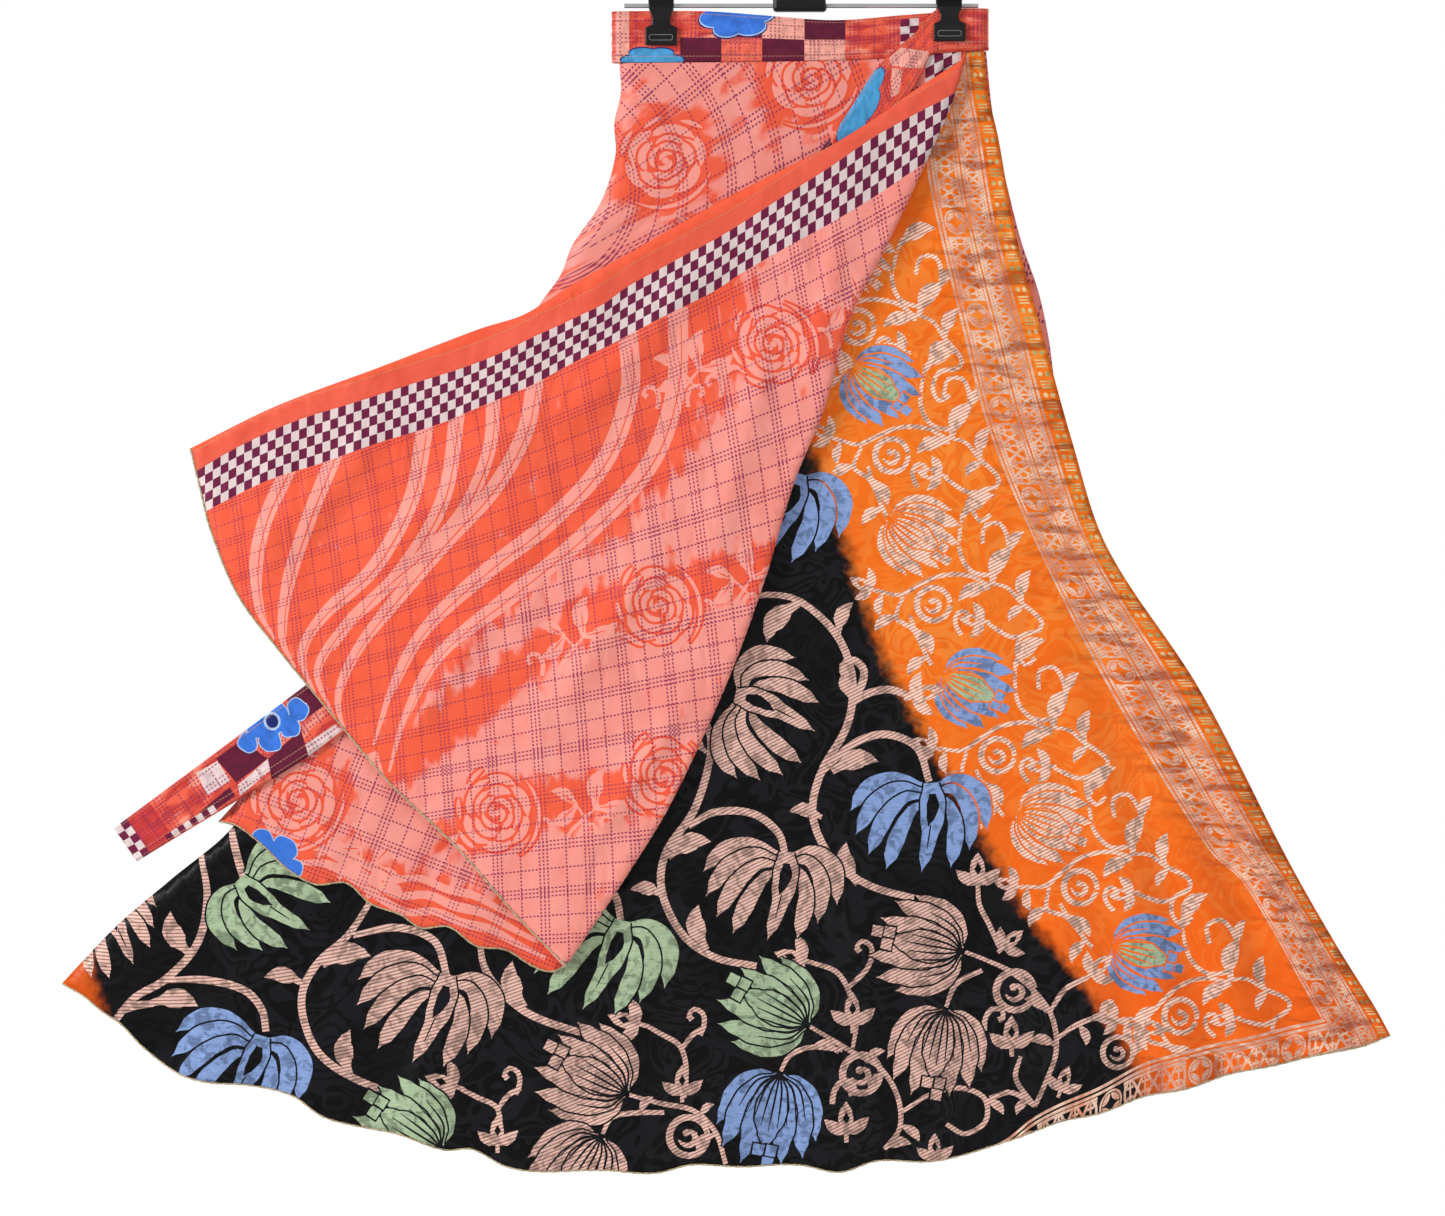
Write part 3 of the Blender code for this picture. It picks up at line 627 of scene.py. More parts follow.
# %% The brocade's front: lotuses, vines and small motifs
DROOPING = [  # stem end, heading, size, dye, flip
    ((-2, 361), -16, 74, "blue", 1), ((-51, 536), 74, 70, "beige", 1),
    ((-12, 657), -4, 72, "beige", 1), ((101, 603), 2, 72, "blue", 1),
    ((-140, 710), -16, 78, "green", 1), ((-437, 677), 46, 70, "green", -1),
    ((-276, 752), -14, 76, "beige", 1), ((-421, 800), -20, 73, "blue", 1),
    ((-549, 697), 38, 57, "beige", 1),
]
OPEN = [
    ((8, 793), -118, 76, "green", 1), ((-133, 846), -118, 78, "beige", 1),
    ((-15, 828), -12, 78, "blue", -1), ((129, 735), -100, 76, "beige", 1),
    ((114, 778), -10, 74, "beige", -1), ((-154, 877), -34, 74, "beige", -1),
    ((-278, 889), -122, 76, "green", 1),
]
VINES = [
    [(-51, 460), (-23, 456), (0, 461), (29, 488), (41, 521), (37, 558), (16, 596), (10, 629),
     (25, 662), (54, 683), (89, 693)],
    [(16, 596), (41, 573), (66, 565), (91, 575), (101, 602)],
    [(40, 542), (51, 534), (69, 530), (86, 535)],
    [(-86, 530), (-71, 562), (-71, 587), (-83, 625), (-105, 658), (-108, 687), (-92, 721),
     (-67, 739), (-34, 746)],
    [(-87, 637), (-67, 626), (-37, 627), (-17, 642), (-11, 661)],
    [(-187, 679), (-159, 677), (-144, 692), (-140, 710)],
    [(-250, 725), (-247, 745), (-237, 762), (-212, 783), (-171, 798)],
    [(-469, 655), (-463, 693), (-471, 729), (-495, 756), (-520, 771), (-535, 789)],
    [(-495, 757), (-463, 757), (-433, 765), (-420, 780), (-417, 797)],
    [(-332, 690), (-353, 722), (-376, 743), (-388, 764), (-388, 786), (-376, 813), (-349, 833),
     (-314, 847)],
    [(-349, 722), (-314, 716), (-285, 727), (-275, 756)],
    [(-445, 636), (-441, 655), (-434, 680)],
    [(-16, 334), (-6, 343), (-2, 356)],
    [(-532, 782), (-519, 777), (-505, 775)],
]
THIN_VINES = [
    [(8, 793), (25, 803), (41, 813), (62, 825), (76, 847), (78, 872), (66, 889)],
    [(-15, 828), (-8, 816), (9, 809), (33, 811)],
    [(41, 810), (44, 788), (37, 763), (28, 750), (9, 743)],
    [(37, 763), (51, 750), (56, 741)],
    [(-133, 846), (-108, 853), (-83, 859), (-66, 875), (-58, 900)],
    [(-154, 877), (-147, 864), (-129, 860), (-106, 860)],
    [(-90, 849), (-89, 824), (-94, 808), (-108, 799), (-120, 792)],
    [(-92, 810), (-83, 799), (-75, 794)],
    [(129, 735), (145, 741), (166, 751), (184, 767), (197, 786), (200, 813), (191, 838),
     (183, 855)],
    [(114, 778), (122, 760), (142, 749)],
    [(156, 733), (148, 714), (140, 698), (139, 683)],
    [(200, 803), (217, 791), (234, 786), (256, 791)],
    [(195, 782), (207, 764), (223, 755)],
    [(79, 860), (101, 846), (124, 841), (144, 849), (145, 867), (129, 877), (114, 869)],
    [(183, 855), (165, 844), (148, 849)],
    [(-236, 883), (-234, 869), (-237, 856), (-251, 849), (-264, 842)],
    [(-236, 858), (-228, 847), (-218, 841)],
    [(172, 816), (168, 833), (183, 855)],
]
LEAVES = [  # foot, heading, size
    ((0, 462), -50, 50), ((30, 487), 165, 34), ((41, 538), 200, 30), ((25, 594), 112, 46),
    ((17, 630), -110, 32), ((45, 682), 205, 42), ((-73, 579), 220, 26), ((-103, 661), 120, 44),
    ((-107, 691), -110, 32), ((-73, 733), 200, 44), ((-215, 778), 205, 46), ((-476, 737), 215, 46),
    ((-507, 775), 96, 46), ((-388, 760), -110, 38), ((-373, 745), 110, 48), ((-351, 831), 190, 44),
    ((66, 828), -40, 26), ((78, 870), 60, 24), ((193, 782), -130, 26), ((200, 808), -110, 26),
    ((234, 786), 150, 22), ((-66, 877), -60, 24), ((145, 850), 60, 22), ((30, 813), -120, 24),
    ((-125, 860), 150, 20), ((66, 888), 110, 26), ((179, 849), -50, 20), ((217, 791), 30, 22),
    ((51, 821), 130, 22), ((162, 749), 60, 20), ((-78, 863), 140, 18),
]
SMALL_FLOWERS = [
    ((87, 536), 104, 22), ((5, 742), -105, 22), ((41, 792), 180, 22), ((-125, 791), -105, 22),
    ((-92, 847), 180, 20), ((139, 683), 180, 22), ((158, 732), 130, 18), ((165, 810), 180, 22),
    ((261, 792), 80, 22), ((36, 877), 180, 22), ((-268, 840), -110, 22), ((-236, 886), 180, 20),
    ((226, 753), 130, 20), ((105, 897), 180, 18), ((203, 844), 160, 18),
]
RINGS = [((48, 830), 15), ((168, 765), 15), ((-87, 879), 15), ((248, 813), 12)]
HOOKS = [
    ((40, 538), 150, 30, 1), ((53, 747), 165, 20, 1), ((-78, 800), 165, 20, 1),
    ((144, 796), 170, 20, -1), ((25, 853), 165, 22, -1), ((-222, 846), 165, 20, 1),
]


def brocade_front():
    shapes = []
    for points in VINES:
        shapes += vine(points)
    for points in THIN_VINES:
        shapes += vine(points, half=2.0)
    for at, heading, size in LEAVES:
        shapes += leaf(at, heading, 0.8 * size, "beige", 1 if heading > 0 else -1)
    for at, radius in RINGS:
        shapes += ring(at, radius, "beige")
    for at, heading, size in SMALL_FLOWERS:
        shapes += small_flower(at, heading, 1.1 * size, "beige")
    for at, heading, size, flip in HOOKS:
        shapes += hook(at, heading, size, "beige", flip)
    for lotus in DROOPING:
        shapes += drooping_lotus(*lotus)
    for at, heading, size, dye, flip in OPEN:
        shapes += open_lotus(at, heading, size, dye, line="dark", flip=flip)
    return shapes


print(len(brocade_front()), "shapes on the black ground")

# %% [markdown]
# In the orange panel one scroll repeats down the cloth, with a lotus that is blue with a green
# heart in one repeat and beige in the next.

# %% The scroll of the orange panel
SCROLLS = [  # stem end of its lotus, turn, whether it is blue with a green heart
    ((20, 173), -6, False), ((39, 277), 0, True), ((68, 395), 3, False), ((110, 518), 10, True),
    ((168, 626), 16, False), ((242, 730), 20, True),
]
SCROLL_VINES = [
    [(75, 2), (71, 39), (83, 60), (106, 62), (120, 40), (114, 14), (98, 14), (94, 32)],
    [(-14, 73), (8, 79), (29, 70), (50, 62), (78, 63), (98, 74)],
    [(12, 81), (4, 102), (20, 114), (33, 143), (37, 151)],
    [(98, 72), (116, 77), (130, 93), (149, 112), (147, 121), (128, 127), (123, 143), (131, 156),
     (141, 149)],
    [(95, 112), (106, 120), (118, 127), (132, 126)],
    [(18, 100), (22, 116), (30, 134)],
]
SCROLL_LEAVES = [
    ((75, 4), 130, 34), ((102, 72), 160, 34), ((100, 76), -80, 30), ((130, 92), 170, 28),
    ((134, 96), -60, 20), ((6, 100), -70, 24), ((22, 114), 40, 26), ((34, 142), -60, 24),
    ((120, 42), 150, 22), ((-8, 76), -20, 20),
]


def scroll(at, turn, blue):
    shapes = []
    put = drawn_at(at, turn, 0.78)
    for points in SCROLL_VINES:
        shapes += vine([put(*p) for p in points], half=1.8)
    for foot, heading, size in SCROLL_LEAVES:
        shapes += leaf(put(*foot), heading + turn, 0.9 * size, "beige", 1 if heading > 0 else -1)
    shapes += ring(put(42, 90), 13, "beige", turn)
    shapes += small_flower(put(-18, 72), -120 + turn, 19, "beige")
    shapes += small_flower(put(92, 110), -100 + turn, 19, "beige")
    shapes += hook(put(68, 122), 200 + turn, 18, "beige", -1)
    if blue:
        return shapes + open_lotus(at, 55 + turn, 61, "blue", heart="green")
    return shapes + open_lotus(at, 54 + turn, 62, "beige")


print(len(scroll((0, 0), 0, True)), "shapes in a scroll")

# %% [markdown]
# The hidden side is not in the photograph. It is the same cloth, so the same motifs go round the
# hem there, spaced by rule.

# %% The brocade's back
def brocade_back():
    shapes, hem = [], Track(UNDER_BACK_HEM)
    dyes = ("beige", "blue", "beige", "green")
    for i in range(8):
        x = -520 + 118 * i
        drop = hem(x)[0]
        stem = Vector((x + 36, drop - 104))
        run = [Vector((x - 46, drop - 40)), Vector((x - 30, drop - 84)), Vector((x, drop - 118)),
               Vector((x + 30, drop - 122)), stem]
        shapes += vine(run)
        shapes += vine([Vector((x - 60, hem(x - 60)[0] - 150)), run[0], Vector((x - 20, drop - 12)),
                        Vector((x + 20, drop + 10))])
        shapes += leaf(run[1], -100, 38, "beige", -1)
        shapes += leaf(run[2], 175, 34, "beige")
        shapes += drooping_lotus(stem, -10 + 7 * (i % 3), 82, dyes[i % 4], 1 - 2 * (i % 2))
    return shapes


print(len(brocade_back()), "shapes on the back")

# %% [markdown]
# ## Cutting the cloth
#
# Each sheet starts as a flat pattern in the plane of (x, drop): its own outline, the outlines of
# its print, and a grid of points in between. Blender's constrained triangulation joins them all
# without crossing any outline, and it tells which shape every triangle lies in. The triangles get
# their dye from that, and then every point is laid in its place in the room.

# %% The pattern cutter
def closed(*sides):
    points = []
    for side in sides:
        for p in side:
            if not points or (p - points[-1]).length > 0.4:
                points.append(p)
    while (points[0] - points[-1]).length < 0.4:
        points.pop()
    area = sum(a.cross(b) for a, b in zip(points, points[1:] + points[:1]))
    return points if area > 0 else points[::-1]


def grid_inside(edge, step):
    """Points of an even grid that lie well inside a closed outline."""
    found, row = [], min(p.y for p in edge) + step / 2
    last = max(p.y for p in edge)
    shift = 0.0
    while row < last:
        crossings = sorted(
            a.x + (b.x - a.x) * (row - a.y) / (b.y - a.y)
            for a, b in zip(edge, edge[1:] + edge[:1])
            if (a.y > row) != (b.y > row)
        )
        for left, right in zip(crossings[::2], crossings[1::2]):
            count = int((right - left) / step)
            for i in range(1, count):
                found.append(Vector((left + (right - left) * (i + shift) / count, row)))
        shift = 0.5 - shift
        row += step * 0.87
    return found


def loop_area(points):
    return abs(sum(a.cross(b) for a, b in zip(points, points[1:] + points[:1]))) / 2


def in_scene(name, data):
    shown = bpy.data.objects.new(name, data)
    bpy.context.scene.collection.objects.link(shown)
    return shown


def mesh_object(name, form):
    mesh = bpy.data.meshes.new(name)
    form.to_mesh(mesh)
    form.free()
    return in_scene(name, mesh)


CLOSEST = 0.15  # points nearer than this to each other or to an outline are joined
# a shape is left out when its triangles cover more than this share of its own area, plus mm2
SPILT = (1.4, 30)


def cut_sheet(name, edge, step, shapes, place, uvs, fields=(), facing=-1, extra=()):
    """Cuts one sheet out of its flat pattern and lays it in its place."""
    fields = dict(fields)
    points, loops = [], []
    for outline in [edge] + [closed(shape) for shape, dye in shapes]:
        loops.append(list(range(len(points), len(points) + len(outline))))
        points += outline
    points += grid_inside(edge, step) + list(extra)
    flat, _, triangles, _, _, inside = delaunay_2d_cdt(points, [], loops, 1, CLOSEST)
    owned = [0.0] * len(loops)
    for triangle, owners in zip(triangles, inside):
        a, b, c = (Vector(flat[i]) for i in triangle)
        for owner in owners:
            owned[owner] += abs((b - a).cross(c - a)) / 2
    drawn = [loop_area([points[k] for k in loop]) for loop in loops]
    spilt = {i for i in range(1, len(loops)) if owned[i] > SPILT[0] * drawn[i] + SPILT[1]}
    form = bmesh.new()
    dye_layer = form.faces.layers.float_color.new("dye")
    hatch_layer = form.faces.layers.float.new("hatch")
    maps = {key: form.loops.layers.uv.new(key) for key in uvs}
    marks = {key: form.verts.layers.float.new(key) for key in fields}
    placed = {}
    for triangle, owners in zip(triangles, inside):
        if 0 not in owners:
            continue
        for i in triangle:
            if i not in placed:
                placed[i] = form.verts.new(place(flat[i]))
                for key, layer in marks.items():
                    placed[i][layer] = fields[key](flat[i])
        face = form.faces.new([placed[i] for i in triangle])
        top = max((owner for owner in owners if owner not in spilt), default=0)
        colour, cover, hatch = DYES[shapes[top - 1][1] if top else "ground"]
        face[dye_layer] = (*colour, cover)
        face[hatch_layer] = hatch
        face.smooth = True
    form.normal_update()
    if sum(face.normal.y * face.calc_area() for face in form.faces) * facing < 0:
        bmesh.ops.reverse_faces(form, faces=form.faces)
    where = {vertex: flat[i] for i, vertex in placed.items()}
    for key, layer in maps.items():
        known = {vertex: uvs[key](at) for vertex, at in where.items()}
        for face in form.faces:
            for loop in face.loops:
                loop[layer].uv = known[loop.vert]
    sheet = mesh_object(name, form)
    print(name, "has", len(sheet.data.polygons), "triangles;", len(spilt), "shapes left out")
    return sheet


def declare(piece, slot, *replaced):
    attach(piece, "root")
    if replaced:
        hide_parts(*replaced)


def finish_sheet(sheet, material, slot, replaced, thickness=CLOTH):
    shell = sheet.modifiers.new("Cloth", "SOLIDIFY")
    shell.thickness = thickness * MM
    shell.offset = 0.0
    sheet.data.materials.append(material)
    declare(sheet, slot, replaced)
    return sheet


print("the pattern cutter is ready")

# %% [markdown]
# ## Shader sums
#
# A material is a graph of nodes. Long sums are easier to read as Python, so one small class wraps
# a socket, and each operator on it adds the Math node that does the sum. The bar, |, stands for
# the larger of two.

# %% The class that wraps a socket, and the graphs
class Value:
    """A number or a colour that varies from place to place."""

    def __init__(self, graph, socket):
        self.graph, self.socket = graph, socket

    def math(self, operation, *others):
        inputs = dict(enumerate((self, *others)))
        return self.graph.node("ShaderNodeMath", {"operation": operation}, inputs)

    def __add__(self, other):
        return self.math("ADD", other)

    def __sub__(self, other):
        return self.math("SUBTRACT", other)

    def __rsub__(self, other):
        return self.graph.number(other).math("SUBTRACT", self)

    def __mul__(self, other):
        return self.math("MULTIPLY", other)

    def __truediv__(self, other):
        return self.math("DIVIDE", other)

    def __lt__(self, other):
        return self.math("LESS_THAN", other)

    def __gt__(self, other):
        return self.math("GREATER_THAN", other)

    def __or__(self, other):
        return self.math("MAXIMUM", other)

    def __abs__(self):
        return self.math("ABSOLUTE")

    __radd__, __rmul__ = __add__, __mul__

    def away(self, period):
        """How far it is from the nearest multiple of a period."""
        return self.math("PINGPONG", period / 2)

    def share(self, period):
        """Where it stands within its period, from 0 to 1."""
        return (self / period).math("FRACT")

    def rises(self, low, high):
        """0 below low and 1 above high, with a smooth passage."""
        settings = {"interpolation_type": "SMOOTHSTEP"}
        inputs = {"Value": self, "From Min": low, "From Max": high}
        return self.graph.node("ShaderNodeMapRange", settings, inputs)

    def within(self, half, soft=0.15):
        """1 where its size is under half a width, with a soft edge."""
        return 1 - abs(self).rises(half - soft, half + soft)


class Graph:
    """A tree of shader nodes."""

    def __init__(self, tree):
        self.tree = tree

    def node(self, kind, settings=(), inputs=(), output=0):
        made = self.tree.nodes.new(kind)
        for key, value in dict(settings).items():
            setattr(made, key, value)
        for key, value in dict(inputs).items():
            self.feed(made.inputs[key], value)
        return Value(self, made.outputs[output])

    def feed(self, socket, value):
        if isinstance(value, Value):
            self.tree.links.new(value.socket, socket)
        else:
            if hasattr(socket.default_value, "__len__") and len(value) == 3:
                value = (*value, 1.0)[: len(socket.default_value)]
            socket.default_value = value

    def number(self, value):
        return self.node("ShaderNodeMath", {"operation": "ADD"}, {0: value, 1: 0.0})

    def mix(self, factor, a, b, blend="MIX"):
        settings = {"data_type": "RGBA", "blend_type": blend}
        return self.node("ShaderNodeMix", settings, {0: factor, 6: a, 7: b}, 2)

    def attribute(self, name, output="Fac"):
        return self.node("ShaderNodeAttribute", {"attribute_name": name}, (), output)

    def map(self, name):
        """A UV map's own vector, and its two numbers."""
        whole = self.node("ShaderNodeUVMap", {"uv_map": name})
        parts = [self.node("ShaderNodeSeparateXYZ", (), {0: whole}, i) for i in (0, 1)]
        return (whole, *parts)

    def scaled(self, vector, scale):
        settings = {"operation": "MULTIPLY"}
        return self.node("ShaderNodeVectorMath", settings, {0: vector, 1: scale})

    def shaded(self, colour, bright):
        grey = self.node("ShaderNodeCombineColor", (), {0: bright, 1: bright, 2: bright})
        return self.mix(1.0, colour, grey, "MULTIPLY")

    def object_place(self):
        return self.node("ShaderNodeTexCoord", (), (), "Object")

    def noise(self, vector, scale, detail=2.0, distortion=0.0):
        inputs = {"Vector": vector, "Scale": scale, "Detail": detail, "Distortion": distortion}
        return self.node("ShaderNodeTexNoise", (), inputs)

    def stretched_noise(self, vector, across, down, detail=2.0, distortion=0.0):
        return self.noise(self.scaled(vector, (across, down, 1.0)), 1.0, detail, distortion)

    def bump(self, height, distance):
        inputs = {"Height": height, "Distance": distance, "Strength": 1.0}
        return self.node("ShaderNodeBump", (), inputs)


class Finish(Graph):
    """A material under construction."""

    def __init__(self, name, **fixed):
        self.material = bpy.data.materials.new(name)
        self.material.use_nodes = True
        super().__init__(self.material.node_tree)
        self.shader = self.tree.nodes["Principled BSDF"]
        for key, value in fixed.items():
            self.shader.inputs[key.replace("_", " ")].default_value = value

    def wear(self, colour, roughness, normal=None):
        self.feed(self.shader.inputs["Base Color"], colour)
        self.feed(self.shader.inputs["Roughness"], roughness)
        if normal is not None:
            self.feed(self.shader.inputs["Normal"], normal)
        return self.material


print("the shader classes are ready")

# %% [markdown]
# ## The coral print
#
# The coral sari is printed with purple dashed lines in a check: three dashed lines close together,
# then a single one half way to the next three. Each cloth carries a UV map in millimetres that
# follows its own grain, so the check bends with the cloth. The border's chequered band uses a
# second UV map, along the edge and inwards from it.

# %% The coral cloth's material
def dashed_check(u, v, across, down):
    """Dashed lines both ways, with their periods: three together, then one half way on."""
    gap, thick, dash = 3.2, 0.62, 3.0

    def lines(position, period, along):
        off = position.away(period)
        drawn = off.within(thick) | (off - gap).within(thick) | (off - period / 2).within(thick)
        return drawn * along.away(dash).rises(0.5, 0.75)

    return lines(u, across, v) | lines(v, down, u)


SQUARE = 6.1  # side of a square in the chequered band, along the cloth's edge
SQUARE_ROWS = 5.0
STITCHES_IN = -16.0  # the hem's row of stitches, from the chequered band
STITCH = 3.0


def coral_cloth(name, trimmed=False):
    finish = Finish(name, Sheen_Weight=0.1, Sheen_Roughness=0.4, Specular_IOR_Level=0.2)
    whole, u, v = finish.map("weave")
    streaks = finish.stretched_noise(whole, 0.10, 0.04, 4.0, 0.4)
    tone = (finish.attribute("zone") + (streaks - 0.58) * 1.9).rises(0.2, 0.6)
    red = finish.mix(finish.noise(whole, 0.02, 3.0), rgb(244, 82, 50), rgb(252, 108, 76))
    salmon = finish.mix(finish.noise(whole, 0.03, 2.0), rgb(250, 138, 124), rgb(255, 168, 158))
    brushed = finish.stretched_noise(whole, 0.06, 0.16, 4.0, 0.6) * 0.5 + 0.76
    dye, flat = finish.attribute("dye", "Color"), finish.attribute("hatch")
    dyed = finish.mix(flat, dye, finish.shaded(dye, brushed))
    colour = finish.mix(tone, red, salmon)
    colour = finish.mix(finish.attribute("dye", "Alpha"), colour, dyed)
    check = dashed_check(u, v, 36.6, 38.0) * (1 - flat) * (tone * 0.25 + 0.66)
    purple = rgb(134, 26, 84)
    blur = finish.noise(whole, 0.6, 2.0)
    dimples = finish.stretched_noise(whole, 0.022, 0.012, 2.0, 0.8) * 15.0
    height = blur * 0.3 + dimples
    if trimmed:
        edge, along, inwards = finish.map("trim")
        share = finish.attribute("checks")
        hem = 1 - inwards.rises(-0.2, 0.2)
        band = (1 - hem) * (1 - share.rises(0.995, 1.005))
        cell = (along / SQUARE).math("FLOOR") + (share * SQUARE_ROWS).math("FLOOR")
        dark = cell.math("FLOORED_MODULO", 2.0)
        worn = finish.stretched_noise(edge, 0.06, 0.03).rises(0.55, 0.75)
        plum = finish.mix(worn * 0.6, rgb(108, 20, 62), rgb(146, 42, 96))
        checks = finish.mix(dark, rgb(226, 206, 204), plum)
        stitch = (inwards - STITCHES_IN).within(0.35) * along.share(STITCH).rises(0.2, 0.3)
        colour = finish.mix(check * (1 - hem) * (1 - band), colour, purple)
        upper = finish.mix(finish.noise(edge, 0.03, 3.0), rgb(240, 82, 50), rgb(252, 106, 74))
        lower = finish.mix(finish.noise(edge, 0.05, 3.0), rgb(228, 80, 56), rgb(246, 106, 82))
        past_stitches = inwards.rises(STITCHES_IN - 0.3, STITCHES_IN + 0.3)
        colour = finish.mix(hem, colour, finish.mix(past_stitches, upper, lower))
        colour = finish.mix(band, colour, checks)
        colour = finish.mix(stitch * 0.55, colour, rgb(232, 170, 130))
        height = height - stitch * 0.8 + hem * (inwards + 1.6).within(0.6, 0.5) * 0.6
    else:
        colour = finish.mix(check, colour, purple)
    grain = finish.stretched_noise(whole, 3.2, 1.6)
    # Painted shade: the untrimmed cloth is darker than the flap, for the shade that the flap casts
    # on the front stretch; the back shares this material and is darkened with it.
    shade = blur * 0.10 + grain * 0.12 + (0.89 if trimmed else 0.82)
    bump = finish.bump(height + grain * 0.25, 0.0003)
    return finish.wear(finish.shaded(colour, shade), grain * 0.15 + 0.5, bump)


coral_plain, coral_trimmed = coral_cloth("coral_cloth"), coral_cloth("coral_trimmed", True)
print("coral nodes:", len(coral_trimmed.node_tree.nodes))

# %% [markdown]
# ## The brocade
#
# The ground is a damask: tone-on-tone scrolls that only show because they shine differently. The
# scrolls have a lower roughness, and their shine is also painted as a slightly lighter colour, a
# painted sheen. The beige motifs are woven with single light threads, so a fine hatch runs through
# them, and the blue and green ones are smooth satin. One colour of ground fades into the other
# along a line, and the distance from that line is stored at every point of the cloth.

# %% The brocade's material
# places across the woven border, counted outwards from its inner line
BORDER_LINES = (4.8, 28.2, 32.0, 47.6, 51.4)
COINS, CHAIN, DOTS = 16.5, 39.8, 60.8
# how often each of them comes back along the border
COIN_STEP, BLOCK_STEP, CHAIN_STEP, DOT_STEP = 75.0, 13.0, 10.5, 17.0


def distance(p, q):
    return (p * p + q * q).math("SQRT")


def zari(along, out):
    """The woven border: double lines, coin medallions, crosses and bars, then a chain."""
    drawn = (out - 1.0).within(1.15)
    for place in BORDER_LINES:
        drawn = drawn | (out - place).within(1.1)
    p, q = along.away(COIN_STEP), out - COINS
    size, corner = distance(p, q), distance(p - 7.4, abs(q) - 7.4)
    coin = (corner.within(6.9, 0.3) * size.within(7.7, 0.3)) | (size - 9.2).within(0.8, 0.2)
    block = (p - 24.0).away(BLOCK_STEP)
    cross = (block * 1.75 - abs(q)).within(2.1, 0.4) | (abs(q) - 8.9).within(1.1)
    bars = (block - 6.5).within(0.8) | (p - 12.8).within(0.8)
    bars = bars | ((abs(q) - 3.6).within(1.0) * (block - 5.2).within(1.4))
    drawn = drawn | ((coin | ((cross | bars) * (p > 11.6))) * q.within(9.9))
    p, q = along.away(CHAIN_STEP), out - CHAIN
    links = (p * 1.3 - abs(q)).within(1.7, 0.4) | (p - CHAIN_STEP / 2).within(0.9)
    chain = (links | (abs(q) - 5.4).within(0.8)) * q.within(6.4)
    return (drawn | chain) * (out > -0.2)


def dots(along, out):
    """Outside the woven lines: pairs of dots between groups of three dashes."""
    p, q = along.away(DOT_STEP), out - DOTS
    dot = distance(p, abs(q) - 3.0).within(1.9, 0.3)
    dash = (p - 6.0).away(2.6).within(0.6) * (p - 6.9).within(2.6) * q.within(4.6, 0.5)
    return (dot | dash) * (out > 53.0)


THREAD_STEP = 2.75  # between two light threads of the hatched motifs


